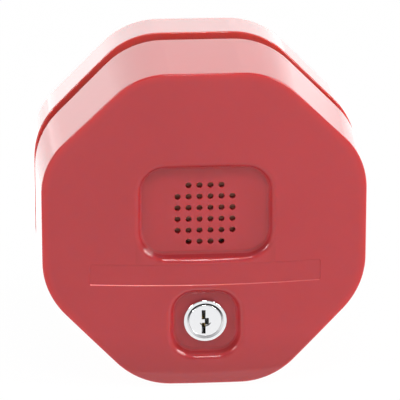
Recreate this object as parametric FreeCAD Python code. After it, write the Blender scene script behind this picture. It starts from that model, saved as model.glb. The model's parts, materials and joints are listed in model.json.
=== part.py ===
import FreeCAD, Part
import math
import os

# Door alarm: an octagonal red box that is screwed to a door.
# X runs to the right, Z runs up, and the front faces -Y. The origin is the centre of the
# back face, where it meets the door. "out" is the distance from the door, so out = -Y.
# Every length is in millimetres.

# Front cover
depth = 84.6
face_across = 136.0
rim_across = 139.4
corner_radius = 32.0
front_radius = 333.0
front_edge_round = 0.8
cover_wall = 3.2
rim_round = 0.6

# Recesses in the front
recess_depth = 4.7
recess_run = 2.7
recess_lip_round = 2.4
recess_floor_round = 1.0
sounder_recess_width = 58.6
sounder_recess_height = 41.9
sounder_recess_corner = 12.5
sounder_recess_z = 7.9
lock_recess_width = 31.2
lock_recess_height = 30.4
lock_recess_corner = 11.0
lock_recess_drop = 0.3
lock_z = -40.8
label_width = 97.2
label_height = 9.0
label_bottom = -23.8
label_depth = 0.3
label_corner = 1.2
label_edge_round = 0.25

# Sound holes: a square grid that lacks its four corner holes
hole_diameter = 2.6
hole_pitch_x = 4.6
hole_pitch_z = 4.95
holes_in_row = 6
grille_z = 6.3

# Rear housing
housing_step = 0.1
housing_depth = 24.5
housing_wall = 2.8
housing_floor = 2.8
housing_edge_round = 1.2
waist_width = 11.0
lap = 7.0
lap_gap = 0.35
lip_wall = 2.4

# Holes for fixing to the door, and the way in for the cable
wall_hole_x = 56.0
wall_hole_z = 22.0
wall_hole_diameter = 4.8
wall_pad_diameter = 11.0
wall_pad_height = 1.2
cable_hole_diameter = 13.0
cable_hole_z = 15.0
cable_collar_wall = 2.0
cable_collar_height = 2.0

# Screws: one thread and head for the case, the board and the sounder
screw_diameter = 3.0
screw_hole_gap = 0.05
screw_head_diameter = 5.6
screw_head_height = 1.8
screw_slot = 1.0
post_wall = 2.0

# Cover hooks at the top, cover screws at the bottom
hook_x = 9.0
hook_width = 7.0
hook_thickness = 2.4
hook_reach = 3.4
hook_gap = 0.3
cover_screw_x = 10.0
cover_screw_length = 11.0
cover_boss_width = 8.0
cover_boss_height = 9.0

# Ribs inside the cover
rib_thickness = 1.6
rib_depth = 3.0

# Key lock and its switch
bezel_diameter = 18.4
bezel_height = 2.2
bezel_round = 0.5
bezel_groove = 0.85
barrel_diameter = 16.0
barrel_flat_across = 14.2
barrel_length = 22.0
barrel_hole_gap = 0.1
plug_diameter = 12.0
plug_gap = 0.05
plug_head_diameter = 14.0
plug_head_thickness = 1.2
plug_head_round = 0.5
plug_sink = 0.4
plug_tail_length = 2.0
nut_across = 20.0
nut_height = 3.5
washer_diameter = 22.0
washer_thickness = 1.0
keyway_depth = 19.0
keyway_slot = 1.6
keyway_offset = 1.4
keyway_x = -0.7
keyway_top = 4.73
keyway_step_top = 1.08
keyway_step_bottom = -1.78
keyway_bottom = -5.74
keyway_dimple_diameter = 5.2
keyway_dimple_depth = 0.4
tail_size = 6.0
tail_length = 7.0
rotor_diameter = 13.4
rotor_gap = 0.3
rotor_end_gap = 0.3
rotor_length = 8.0
contact_thickness = 0.8
contact_width = 5.0
switch_wall = 3.0
switch_collar = 4.0
switch_end_wall = 3.2
lug_width = 2.8
lug_thickness = 0.8
lug_length = 7.0
lug_radius = 4.4
lug_gap = 0.3

# Sounder
siren_diameter = 36.0
siren_length = 18.6
siren_wall = 2.0
siren_throat = 14.0
siren_chamber = 24.0
siren_seat = 28.0
siren_chamber_depth = 6.6
siren_gasket_thickness = 1.5
siren_gasket_wall = 3.0
siren_ear_x = 24.5
siren_ear_thickness = 3.0
siren_ear_setback = 7.0
siren_fit = 0.2
piezo_diameter = 27.6
piezo_thickness = 0.6
piezo_coat_diameter = 19.0
piezo_coat_thickness = 0.3

# Circuit board and what it carries
board_back = 11.0
board_thickness = 1.6
board_half_width = 48.0
board_top = 5.0
board_bottom = -50.0
board_cut = 11.0
board_post_top = (44.0, 0.0)
board_post_low = (33.0, -44.5)
board_screw_length = 8.0
board_margin = 0.5
terminal_ways = 6
terminal_pitch = 5.08
terminal_x = -23.0
terminal_depth = 9.5
terminal_height = 10.0
terminal_screw_diameter = 3.4
terminal_well = 3.0
terminal_screw_height = 2.0
terminal_back_wall = 3.0
terminal_floor = 2.0
terminal_chamfer = 1.5
terminal_entry = 3.2
connector_x = (6.0, 16.0, 26.0)
connector_size = 6.0
connector_height = 6.5
connector_inset = 1.5
connector_notch = 2.0
relay_centre = (24.0, -20.0)
relay_size = (19.0, 15.5)
relay_height = 15.3
chip_centre = (-8.0, -38.0)
chip_size = (22.9, 6.4)
chip_height = 3.4
chip_stand = 0.6
chip_legs_a_side = 9
chip_pitch = 2.54
leg_width = 1.0
leg_thickness = 0.3
dip_centre = (-33.0, -22.0)
dip_width = 9.9
dip_height = 5.5
dip_ways = 4
dip_pitch = 2.54
dip_slot_depth = 2.0
dip_lever_width = 1.3
dip_lever_length = 1.6
dip_lever_height = 2.4
dip_travel = 2.0
dip_gap = 0.1
coil_centre = (-15.5, -20.0)
coil_flange_diameter = 13.0
coil_height = 13.0
coil_flange = 1.8
coil_core_diameter = 6.0
coil_winding_diameter = 11.0
cap_large_centre = (0.5, -18.0)
cap_large_diameter = 10.0
cap_large_height = 16.0
cap_small_centre = (9.5, -31.0)
cap_small_diameter = 6.3
cap_small_height = 11.2
resistor_centre = (27.0, -33.5)
resistor_count = 3
resistor_pitch = 3.6
resistor_diameter = 2.4
resistor_length = 6.5
resistor_span = 10.0
wire_diameter = 0.6
reed_x = 45.0
reed_z = -22.0
reed_height = 3.4
reed_diameter = 2.6
reed_length = 14.0
reed_span = 22.0

# Battery and its cradle
battery_length = 45.4
battery_width = 26.4
battery_thickness = 17.4
battery_round = 2.0
battery_left = -29.0
battery_z = 41.0
battery_gap = 0.3
battery_stud_height = 2.8
battery_stud_pitch = 12.7
battery_stud_small = 5.8
battery_stud_large = 8.0
cradle_wall = 1.8
cradle_height = 10.0
cradle_inset = 6.0
snap_thickness = 5.6
snap_width = 25.0
snap_depth = 12.6

# Leads
lead_diameter = 1.4
lead_pitch = 2.4
lead_clearance = 3.0
lead_rise = 7.0
sounder_lead_drop = 8.0
sounder_lead_shift = 2.0
sounder_lead_end = 9.0
sounder_lead_low = (-0.3, 8.0, 11.0)
sounder_lead_high = (0.5, -21.0, 9.0)
switch_lead_stub = 6.8
switch_lead_bend = 11.0
switch_lead_middle = 27.0
switch_lead_first = (-0.4, -6.0, 9.0)
switch_lead_second = (-1.6, 0.0, 2.0)

# Places that follow from the sizes above
housing_across = rim_across + 2 * housing_step
rim_out = housing_depth + waist_width
lip_top = rim_out + lap
cover_slope = (rim_across - face_across) / (depth - rim_out)
lip_across = rim_across - 2 * cover_wall - cover_slope * lap - 2 * lap_gap
recess_floor = depth - recess_depth
lock_recess_z = lock_z - lock_recess_drop
recess_back = recess_floor - cover_wall
board_front = board_back + board_thickness
screw_bore = screw_diameter / 2 + screw_hole_gap
post_radius = screw_bore + post_wall
bezel_front = recess_floor + bezel_height
plug_front = bezel_front - plug_sink
barrel_back = recess_floor - barrel_length
plug_back = barrel_back - plug_tail_length
tail_back = plug_back - tail_length
rotor_front = plug_back
rotor_back = rotor_front - rotor_length
contact_back = rotor_back - contact_thickness
switch_floor = contact_back - lug_gap - lug_thickness
switch_back = switch_floor - switch_end_wall
siren_front = recess_back - siren_gasket_thickness
siren_back = siren_front - siren_length
siren_ear_front = siren_front - siren_ear_setback
siren_seat_out = siren_front - siren_wall - siren_chamber_depth
battery_back = housing_floor + battery_gap
battery_right = battery_left + battery_length


def at(x, out, z):
    """Point from its place across, away from the door and up."""
    return Vector(x, -out, z)


Vector = FreeCAD.Vector
OUTWARD = Vector(0, -1, 0)
UP = Vector(0, 0, 1)
RIGHT = Vector(1, 0, 0)


def rod(radius, x, z, back, front):
    """Round bar that runs away from the door, from back to front."""
    return Part.makeCylinder(radius, front - back, at(x, back, z), OUTWARD)


def block(x0, x1, back, front, z0, z1):
    """Box between two values on each axis."""
    return Part.makeBox(x1 - x0, front - back, z1 - z0, at(x0, front, z0))


def lathe(profile, x, z):
    """Solid turned about an axis that points out of the door at (x, z).

    The profile is a closed list of (radius, out) points.
    """
    points = [at(x + radius, out, z) for radius, out in profile]
    face = Part.Face(Part.makePolygon(points + points[:1]))
    return face.revolve(at(x, 0, z), OUTWARD, 360)


def outline(points, back, front):
    """Prism on a closed list of (x, z) corners, from back to front."""
    corners = [at(x, back, z) for x, z in points]
    face = Part.Face(Part.makePolygon(corners + corners[:1]))
    return face.extrude(OUTWARD * (front - back))


def corner_at(across):
    """Corner radius of the octagon that is this far across, about the same centres."""
    return corner_radius + (across - face_across) / 2


def octagon(across, out):
    """Octagon with eight equal flats and arcs at its corners."""
    radius = corner_at(across)
    reach = (across / 2 - radius) / math.cos(math.pi / 8)
    arcs = []
    for side in range(8):
        middle = math.radians(22.5 + 45 * side)
        centre_x = reach * math.cos(middle)
        centre_z = reach * math.sin(middle)
        points = []
        for turn in (-22.5, 0, 22.5):
            angle = middle + math.radians(turn)
            points.append(at(centre_x + radius * math.cos(angle), out,
                             centre_z + radius * math.sin(angle)))
        arcs.append(points)
    edges = []
    for side in range(8):
        start, middle, end = arcs[side]
        edges.append(Part.Arc(start, middle, end).toShape())
        edges.append(Part.makeLine(end, arcs[(side + 1) % 8][0]))
    return Part.Wire(edges)


def octagon_prism(across, back, front):
    """Straight octagonal block."""
    return Part.Face(octagon(across, back)).extrude(OUTWARD * (front - back))


def octagon_taper(back_across, back, front_across, front):
    """Octagonal block with draft, from back to front."""
    wires = [octagon(back_across, back), octagon(front_across, front)]
    return Part.makeLoft(wires, True, True)


def rounded_rectangle(width, height, radius, z, out):
    """Rectangle with round corners, centred on x = 0."""
    arcs = []
    for side in range(4):
        middle = math.radians(45 + 90 * side)
        centre_x = math.copysign(width / 2 - radius, math.cos(middle))
        centre_z = z + math.copysign(height / 2 - radius, math.sin(middle))
        points = []
        for turn in (-45, 0, 45):
            angle = middle + math.radians(turn)
            points.append(at(centre_x + radius * math.cos(angle), out,
                             centre_z + radius * math.sin(angle)))
        arcs.append(points)
    edges = []
    for side in range(4):
        start, middle, end = arcs[side]
        edges.append(Part.Arc(start, middle, end).toShape())
        edges.append(Part.makeLine(end, arcs[(side + 1) % 4][0]))
    return Part.Wire(edges)


def dome(radius):
    """Upright cylinder whose front line is the crown of the front face."""
    height = 2 * rim_across
    axis_out = depth - front_radius
    return Part.makeCylinder(radius, height, at(0, axis_out, -height / 2), UP)


def on_dome(edge):
    """Whether an edge lies on the front face."""
    middle = edge.valueAt((edge.FirstParameter + edge.LastParameter) / 2)
    from_axis = math.hypot(middle.x, -middle.y - (depth - front_radius))
    return abs(from_axis - front_radius) < 0.01


def at_out(edge, out):
    """Whether an edge lies in the plane this far from the door."""
    box = edge.BoundBox
    return abs(box.YMin + out) < 0.01 and abs(box.YMax + out) < 0.01


def within(edge, half_width, z, half_height):
    """Whether an edge lies inside an upright rectangle about x = 0."""
    box = edge.BoundBox
    inside_x = box.XMin > -half_width and box.XMax < half_width
    return inside_x and box.ZMin > z - half_height and box.ZMax < z + half_height


def cut_recess(cover, width, height, corner, z):
    """Sink a recess with sloped walls, and round its lip and its floor."""
    slope = recess_run / recess_depth
    over = 2.0
    small = (width - 2 * recess_run, height - 2 * recess_run, corner - recess_run)
    grow = slope * (recess_depth + over)
    wires = [
        rounded_rectangle(small[0], small[1], small[2], z, recess_floor),
        rounded_rectangle(small[0] + 2 * grow, small[1] + 2 * grow, small[2] + grow,
                          z, depth + over),
    ]
    cover = cover.cut(Part.makeLoft(wires, True, True))
    area = (width / 2 + 1, z, height / 2 + 1)
    lip = [edge for edge in cover.Edges if on_dome(edge) and within(edge, *area)]
    cover = cover.makeFillet(recess_lip_round, lip)
    floor = [edge for edge in cover.Edges if at_out(edge, recess_floor) and within(edge, *area)]
    return cover.makeFillet(recess_floor_round, floor)


def recess_backing(width, height, corner, z):
    """The solid behind a recess: its shape, one wall thickness larger."""
    wall = cover_wall
    small = (width - 2 * recess_run + 2 * wall, height - 2 * recess_run + 2 * wall)
    radius = corner - recess_run + wall
    wires = [
        rounded_rectangle(small[0], small[1], radius, z, recess_back),
        rounded_rectangle(small[0] + 2 * recess_run, small[1] + 2 * recess_run,
                          radius + recess_run, z, depth),
    ]
    return Part.makeLoft(wires, True, True)


def label_cut():
    """Shallow band for a label, parallel to the curved front."""
    middle = label_bottom + label_height / 2
    wire = rounded_rectangle(label_width, label_height, label_corner, middle, rim_out)
    band = Part.Face(wire).extrude(OUTWARD * (depth - rim_out + 1))
    return band.cut(dome(front_radius - label_depth))


def grille_holes():
    """The sound holes, as one group of cutters."""
    middle = (holes_in_row - 1) / 2
    last = holes_in_row - 1
    cutters = []
    for column in range(holes_in_row):
        for row in range(holes_in_row):
            if column in (0, last) and row in (0, last):
                continue
            x = (column - middle) * hole_pitch_x
            z = grille_z + (row - middle) * hole_pitch_z
            cutters.append(rod(hole_diameter / 2, x, z, recess_back - 1, depth))
    return Part.makeCompound(cutters)


def double_flat(diameter, across, back, front):
    """Round bar on the lock's axis with a flat on its left and right."""
    bar = rod(diameter / 2, 0, lock_z, back, front)
    flats = block(-across / 2, across / 2, back, front, lock_z - diameter, lock_z + diameter)
    return bar.common(flats)


def cover_half_height(out):
    """Height of the cover's top and bottom flats above the middle, at this distance out."""
    return (rim_across - cover_slope * (out - rim_out)) / 2


def screw(length, head=True):
    """Slotted pan head screw that points towards the door, seated at out = 0."""
    shank = Part.makeCylinder(screw_diameter / 2, length, at(0, -length, 0), OUTWARD)
    if not head:
        return shank
    cap = Part.makeCylinder(screw_head_diameter / 2, screw_head_height, at(0, 0, 0), OUTWARD)
    rim = [edge for edge in cap.Edges if at_out(edge, screw_head_height)]
    cap = cap.makeFillet(screw_head_height / 2, rim)
    slot = block(-screw_head_diameter, screw_head_diameter, screw_head_height * 0.45,
                 screw_head_height + 1, -screw_slot / 2, screw_slot / 2)
    return shank.fuse(cap).removeSplitter().cut(slot)


def placed(shape, x, out, z):
    """Copy of a shape moved to a place."""
    copy = shape.copy()
    copy.translate(at(x, out, z))
    return copy


def front_cover():
    """Drafted octagonal moulding with a curved front, two recesses and the sound holes."""
    over = 2.0
    front_over = face_across - cover_slope * over
    cover = octagon_taper(rim_across, rim_out, front_over, depth + over)
    cover = cover.common(dome(front_radius))
    edge = [e for e in cover.Edges if on_dome(e)]
    cover = cover.makeFillet(front_edge_round, edge)
    cover = cut_recess(cover, sounder_recess_width, sounder_recess_height,
                       sounder_recess_corner, sounder_recess_z)
    cover = cut_recess(cover, lock_recess_width, lock_recess_height, lock_recess_corner,
                       lock_recess_z)
    cover = cover.cut(label_cut())
    middle = label_bottom + label_height / 2
    edge = [e for e in cover.Edges if on_dome(e)
            and within(e, label_width / 2 + 1, middle, label_height / 2 + 0.1)]
    cover = cover.makeFillet(label_edge_round, edge)
    rim = [e for e in cover.Edges if at_out(e, rim_out)]
    cover = cover.makeFillet(rim_round, rim)
    inside = octagon_taper(rim_across - 2 * cover_wall + cover_slope, rim_out - 1,
                           face_across - 2 * cover_wall, depth)
    inside = inside.common(dome(front_radius - cover_wall))
    inside = inside.cut(recess_backing(sounder_recess_width, sounder_recess_height,
                                       sounder_recess_corner, sounder_recess_z))
    inside = inside.cut(recess_backing(lock_recess_width, lock_recess_height,
                                       lock_recess_corner, lock_recess_z))
    cover = cover.cut(inside)
    extras = [hook(-hook_x), hook(hook_x)]
    for side in range(8):
        if side not in (2, 6):
            extras.append(cover_rib(side))
    for x in (-siren_ear_x, siren_ear_x):
        extras.append(rod(post_radius, x, grille_z, siren_ear_front, recess_back))
    cover = cover.fuse(extras).removeSplitter()
    cutters = [grille_holes(), double_flat(barrel_diameter + 2 * barrel_hole_gap,
                                           barrel_flat_across + 2 * barrel_hole_gap,
                                           recess_back - 1, depth)]
    for x in (-siren_ear_x, siren_ear_x):
        cutters.append(rod(screw_bore, x, grille_z, siren_ear_front - 1, recess_back - 0.6))
    for x in (-cover_screw_x, cover_screw_x):
        cutters += cover_screw_holes(x)
    return cover.cut(cutters)


def hook(x):
    """Tab inside the top of the cover that reaches through a window in the lip."""
    middle = rim_out + lap / 2
    top = cover_half_height(middle) - cover_wall / 2
    low = cover_half_height(middle) - cover_wall - hook_reach
    profile = [
        (middle - hook_thickness / 2, top),
        (middle - hook_thickness / 2, low),
        (middle + hook_thickness / 2 - hook_thickness / 3, low),
        (middle + hook_thickness / 2, low + hook_thickness / 2),
        (middle + hook_thickness / 2, top),
    ]
    corners = [at(x - hook_width / 2, out, z) for out, z in profile]
    face = Part.Face(Part.makePolygon(corners + corners[:1]))
    return face.extrude(RIGHT * hook_width)


def cover_rib(side):
    """Stiffening rib on the middle of one of the cover's flats."""
    back = lip_top + 1.5
    front = depth - cover_wall - front_edge_round - 6.0
    outer = cover_half_height(back) - cover_wall / 2
    corners = [
        (outer - cover_wall / 2 - rib_depth, back + rib_depth),
        (outer, back),
        (outer - cover_slope * (front - back) / 2, front),
        (outer - cover_wall / 2 - rib_depth, front - rib_depth),
    ]
    points = [at(x, out, -rib_thickness / 2) for x, out in corners]
    rib = Part.Face(Part.makePolygon(points + points[:1])).extrude(UP * rib_thickness)
    rib.rotate(at(0, 0, 0), OUTWARD, 45 * side)
    return rib


def cover_screw_seat():
    """Distance out and height of the face that a cover screw's head rests on."""
    out = rim_out + lap / 2
    return out, -cover_half_height(out) + screw_head_height


def cover_screw_holes(x):
    """Hole and counterbore for a screw that goes up through the bottom of the cover."""
    out, seat = cover_screw_seat()
    top = seat + cover_wall + 1
    hole = Part.makeCylinder(screw_bore + 0.15, top - seat + 1, at(x, out, seat - 1), UP)
    bore = Part.makeCylinder(screw_head_diameter / 2 + 0.3, cover_wall + 4,
                             at(x, out, seat - cover_wall - 4), UP)
    return [hole, bore]


def cover_screws():
    """Two screws in the bottom of the cover, heads down."""
    out, seat = cover_screw_seat()
    solids = []
    for x in (-cover_screw_x, cover_screw_x):
        one = screw(cover_screw_length)
        one.rotate(at(0, 0, 0), RIGHT, 90)
        one.translate(at(x, out, seat))
        solids.append(one)
    return Part.makeCompound(solids)


def rear_housing():
    """Tray that is screwed to the door, with a lip that the cover fits over."""
    tray = octagon_prism(housing_across, 0, housing_depth)
    tray = tray.makeFillet(housing_edge_round, [e for e in tray.Edges if at_out(e, 0)])
    tray = tray.makeFillet(rim_round, [e for e in tray.Edges if at_out(e, housing_depth)])
    lip = octagon_prism(lip_across, housing_floor, lip_top)
    lip = lip.makeChamfer(0.6, [e for e in lip.Edges if at_out(e, lip_top)])
    tray = tray.fuse(lip).removeSplitter()
    tray = tray.cut([
        octagon_prism(housing_across - 2 * housing_wall, housing_floor,
                      housing_depth - housing_wall),
        octagon_prism(lip_across - 2 * lip_wall, housing_floor, lip_top + 1),
    ])
    extras = []
    for x in (-wall_hole_x, wall_hole_x):
        for z in (-wall_hole_z, wall_hole_z):
            extras.append(rod(wall_pad_diameter / 2, x, z, housing_floor,
                              housing_floor + wall_pad_height))
    collar = cable_hole_diameter / 2 + cable_collar_wall
    extras.append(rod(collar, 0, cable_hole_z, housing_floor,
                      housing_floor + cable_collar_height))
    for x, z in board_posts():
        extras.append(rod(post_radius, x, z, housing_floor, board_back))
    extras += cradle_walls()
    for x in (-cover_screw_x, cover_screw_x):
        extras.append(cover_boss(x))
    tray = tray.fuse(extras).removeSplitter()
    cutters = [rod(cable_hole_diameter / 2, 0, cable_hole_z, -1, lip_top)]
    for x in (-wall_hole_x, wall_hole_x):
        for z in (-wall_hole_z, wall_hole_z):
            cutters.append(rod(wall_hole_diameter / 2, x, z, -1, housing_depth / 2))
    for x, z in board_posts():
        cutters.append(rod(screw_bore, x, z, housing_floor, board_back + 1))
    out, seat = cover_screw_seat()
    for x in (-cover_screw_x, cover_screw_x):
        cutters.append(Part.makeCylinder(screw_bore, cover_screw_length + 0.5,
                                         at(x, out, seat), UP))
        cutters.append(hook_window(math.copysign(hook_x, x)))
    return tray.cut(cutters)


def cover_boss(x):
    """Block inside the lip that the cover screw bites into."""
    out, seat = cover_screw_seat()
    bottom = -lip_across / 2 + lip_wall / 2
    return block(x - cover_boss_width / 2, x + cover_boss_width / 2, out - cover_boss_width / 2,
                 lip_top - 0.6, bottom, bottom + lip_wall / 2 + cover_boss_height)


def hook_window(x):
    """Window in the lip for a hook of the cover."""
    middle = rim_out + lap / 2
    half_width = hook_width / 2 + hook_gap
    half = hook_thickness / 2 + hook_gap
    top = lip_across / 2
    return block(x - half_width, x + half_width, middle - half, middle + half,
                 top - lip_wall - 1, top + 1)


def board_posts():
    """Places of the four posts that carry the board."""
    return [(side * x, z) for x, z in (board_post_top, board_post_low) for side in (-1, 1)]


def cradle_walls():
    """Walls on the housing floor that hold the battery on three sides."""
    back = housing_floor
    front = housing_floor + cradle_height
    half = battery_width / 2 + battery_gap
    low = battery_z - half
    high = battery_z + half
    left = battery_left - battery_gap
    walls = []
    for z0 in (low - cradle_wall, high):
        walls.append(block(battery_left + cradle_inset, battery_right - cradle_inset,
                           back, front, z0, z0 + cradle_wall))
    walls.append(block(left - cradle_wall, left, back, front,
                       low + cradle_inset, high - cradle_inset))
    ledge = battery_back + battery_thickness / 2 - snap_depth / 2 - battery_gap
    walls.append(block(battery_right + battery_gap, battery_right + battery_gap + cradle_wall,
                       back, ledge, low + cradle_inset, high - cradle_inset))
    return walls


def lock_barrel():
    """Chromed lock case: a round bezel in front of a barrel with two flats."""
    bezel = rod(bezel_diameter / 2, 0, lock_z, recess_floor, bezel_front)
    bezel = bezel.makeFillet(bezel_round, [e for e in bezel.Edges if at_out(e, bezel_front)])
    body = bezel.fuse(double_flat(barrel_diameter, barrel_flat_across, barrel_back, recess_floor))
    bore = rod(plug_diameter / 2 + plug_gap, 0, lock_z, barrel_back - 1, depth)
    head = rod(plug_head_diameter / 2 + bezel_groove, 0, lock_z,
               plug_front - plug_head_thickness - plug_gap, depth)
    return body.removeSplitter().cut([bore, head])


def keyway():
    """Stepped slot for the key, cut from the face of the plug."""
    left = keyway_x - keyway_slot / 2
    right = keyway_x + keyway_slot / 2
    back = plug_front - keyway_depth
    step = keyway_x + keyway_slot / 2 + keyway_offset
    parts = [
        block(left, right, back, depth, lock_z + keyway_bottom, lock_z - 1.0),
        block(left, right, back, depth, lock_z + 0.5, lock_z + keyway_top),
        block(right - 0.3, step, back, depth, lock_z + keyway_step_bottom,
              lock_z + keyway_step_top),
    ]
    return parts[0].fuse(parts[1:]).removeSplitter()


def keyway_dimple():
    """Ball that sinks a shallow dimple round the middle of the keyway."""
    radius = (keyway_dimple_diameter ** 2 / 4 + keyway_dimple_depth ** 2) / (2 * keyway_dimple_depth)
    centre = at(0, plug_front - keyway_dimple_depth + radius, lock_z)
    return Part.makeSphere(radius, centre)


def lock_plug():
    """Core that the key turns, with the keyway and a square tail for the switch."""
    body = rod(plug_diameter / 2, 0, lock_z, plug_back, plug_front)
    head = rod(plug_head_diameter / 2, 0, lock_z, plug_front - plug_head_thickness, plug_front)
    face = [e for e in head.Edges if at_out(e, plug_front)]
    head = head.makeFillet(plug_head_round, face)
    half = tail_size / 2
    tail = block(-half, half, tail_back, plug_back, lock_z - half, lock_z + half)
    plug = body.fuse([head, tail]).removeSplitter()
    hole = rod(screw_bore, 0, lock_z, tail_back - 1, plug_back)
    return plug.cut([keyway(), keyway_dimple(), hole])


def lock_washer():
    """Flat ring between the nut and the back of the cover."""
    hole = barrel_diameter / 2 + barrel_hole_gap
    ring = rod(washer_diameter / 2, 0, lock_z, recess_back - washer_thickness, recess_back)
    return ring.cut(rod(hole, 0, lock_z, recess_back - washer_thickness - 1, recess_back + 1))


def lock_nut():
    """Hexagonal nut that clamps the lock to the cover."""
    front = recess_back - washer_thickness
    reach = nut_across / 2 / math.cos(math.pi / 6)
    corners = []
    for side in range(6):
        angle = math.radians(60 * side)
        corners.append((reach * math.cos(angle), lock_z + reach * math.sin(angle)))
    nut = outline(corners, front - nut_height, front)
    chamfer = lathe([(0, front - nut_height), (nut_across / 2, front - nut_height),
                     (reach, front - nut_height + 1), (reach, front), (0, front)], 0, lock_z)
    hole = rod(barrel_diameter / 2 + barrel_hole_gap, 0, lock_z, 0, depth)
    return nut.common(chamfer).cut(hole)


def switch_rotor():
    """Plastic cam on the tail of the plug."""
    body = rod(rotor_diameter / 2, 0, lock_z, rotor_back, rotor_front)
    half = tail_size / 2 + plug_gap
    socket = block(-half, half, rotor_front - tail_length - plug_gap, rotor_front + 1,
                   lock_z - half, lock_z + half)
    hole = rod(screw_bore, 0, lock_z, rotor_back - 1, rotor_front)
    return body.cut([socket, hole])


def moving_contact():
    """Brass bridge on the back of the rotor."""
    half = rotor_diameter / 2
    bar = block(-half, half, contact_back, rotor_back, lock_z - contact_width / 2,
                lock_z + contact_width / 2)
    bar = bar.common(rod(half - 0.5, 0, lock_z, contact_back, rotor_back))
    return bar.cut(rod(screw_bore, 0, lock_z, contact_back - 1, rotor_back + 1))


def rotor_screw():
    """Screw that holds the contact and the rotor to the tail of the plug."""
    shank = rod(screw_diameter / 2, 0, lock_z, contact_back, tail_back + tail_length - 1.5)
    head = rod(screw_diameter / 2 + 0.9, 0, lock_z, contact_back - 0.9, contact_back)
    slot = block(-screw_diameter, screw_diameter, contact_back - 1.5, contact_back - 0.5,
                 lock_z - 0.3, lock_z + 0.3)
    return shank.fuse(head).removeSplitter().cut(slot)


def switch_body():
    """Round plastic case behind the lock, pushed over the end of the barrel."""
    front = barrel_back + switch_collar
    radius = rotor_diameter / 2 + rotor_gap + switch_wall
    body = rod(radius, 0, lock_z, switch_back, front)
    body = body.makeChamfer(0.8, [e for e in body.Edges if at_out(e, switch_back)])
    body = body.cut([
        double_flat(barrel_diameter + 2 * barrel_hole_gap,
                    barrel_flat_across + 2 * barrel_hole_gap, barrel_back, front + 1),
        rod(rotor_diameter / 2 + rotor_gap, 0, lock_z, switch_floor, barrel_back + 0.01),
    ])
    cutters = []
    for angle in (0, 90, 180, 270):
        cutters.append(lug_shape(angle, lug_gap / 2, switch_floor - switch_end_wall - 1))
    cutters.append(rod(screw_diameter / 2 + 1.5, 0, lock_z, contact_back - 2.5, switch_floor + 1))
    return body.cut(cutters)


def lug_shape(angle, grow, back):
    """Flat tab that stands on the lock's radius at this angle."""
    shape = block(lug_radius - lug_thickness / 2 - grow, lug_radius + lug_thickness / 2 + grow,
                  back, switch_floor + lug_thickness,
                  lock_z - lug_width / 2 - grow, lock_z + lug_width / 2 + grow)
    shape.rotate(at(0, 0, lock_z), OUTWARD, angle)
    return shape


def switch_lugs():
    """Four brass tabs that the leads are soldered to."""
    back = switch_back - lug_length
    return Part.makeCompound([lug_shape(angle, 0, back) for angle in (0, 90, 180, 270)])


def siren_gasket():
    """Foam ring between the sounder and the back of the recess."""
    outer = siren_diameter / 2
    ring = rod(outer, 0, grille_z, siren_front, recess_back)
    return ring.cut(rod(outer - siren_gasket_wall, 0, grille_z, siren_front - 1, recess_back + 1))


def siren_housing():
    """Sounder case: a cup with a throat in front and an ear on each side."""
    radius = siren_diameter / 2
    profile = [
        (siren_seat / 2, siren_back),
        (radius, siren_back),
        (radius, siren_front),
        (siren_throat / 2 + siren_wall, siren_front),
        (siren_throat / 2, siren_front - siren_wall),
        (siren_chamber / 2, siren_front - siren_wall),
        (siren_chamber / 2, siren_seat_out),
        (siren_seat / 2, siren_seat_out),
    ]
    cup = lathe(profile, 0, grille_z)
    back = siren_ear_front - siren_ear_thickness
    ears = block(-siren_ear_x, siren_ear_x, back, siren_ear_front,
                 grille_z - post_radius, grille_z + post_radius)
    ears = ears.fuse([rod(post_radius, x, grille_z, back, siren_ear_front)
                      for x in (-siren_ear_x, siren_ear_x)]).removeSplitter()
    cutters = [rod(radius - siren_wall, 0, grille_z, back - 1, siren_front)]
    cutters += [rod(screw_bore, x, grille_z, back - 1, siren_front)
                for x in (-siren_ear_x, siren_ear_x)]
    return cup.fuse(ears.cut(cutters)).removeSplitter()


def piezo_disc():
    """Brass disc with its ceramic coat, on the ledge inside the sounder."""
    disc = rod(piezo_diameter / 2, 0, grille_z, siren_seat_out - piezo_thickness, siren_seat_out)
    coat_back = siren_seat_out - piezo_thickness - piezo_coat_thickness
    return disc.fuse(rod(piezo_coat_diameter / 2, 0, grille_z, coat_back,
                         siren_seat_out - piezo_thickness)).removeSplitter()


def siren_cap():
    """Cup that closes the back of the sounder and holds the disc in."""
    radius = siren_seat / 2 - siren_fit
    front = siren_seat_out - piezo_thickness
    cup = rod(radius, 0, grille_z, siren_back, front)
    return cup.cut(rod(siren_chamber / 2, 0, grille_z, siren_back + siren_wall, front + 1))


def siren_screws():
    """Two screws through the sounder's ears into the posts of the cover."""
    solids = []
    for x in (-siren_ear_x, siren_ear_x):
        one = screw(siren_ear_thickness + siren_ear_setback + siren_gasket_thickness - 1.5)
        one.rotate(at(0, 0, 0), UP, 180)
        one.translate(at(x, siren_ear_front - siren_ear_thickness, grille_z))
        solids.append(one)
    return Part.makeCompound(solids)


def circuit_board():
    """Board whose lower corners follow the octagon."""
    half = board_half_width
    corners = [
        (-half, board_top), (half, board_top), (half, board_bottom + board_cut),
        (half - board_cut, board_bottom), (-half + board_cut, board_bottom),
        (-half, board_bottom + board_cut),
    ]
    board = outline(corners, board_back, board_front)
    return board.cut([rod(screw_bore + 0.1, x, z, 0, depth) for x, z in board_posts()])


def board_screws():
    """Four screws that hold the board to its posts."""
    one = screw(board_screw_length)
    return Part.makeCompound([placed(one, x, board_front, z) for x, z in board_posts()])


def terminal_places():
    """Places of the terminals along the block."""
    first = terminal_x - (terminal_ways - 1) / 2 * terminal_pitch
    return [first + way * terminal_pitch for way in range(terminal_ways)]


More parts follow.
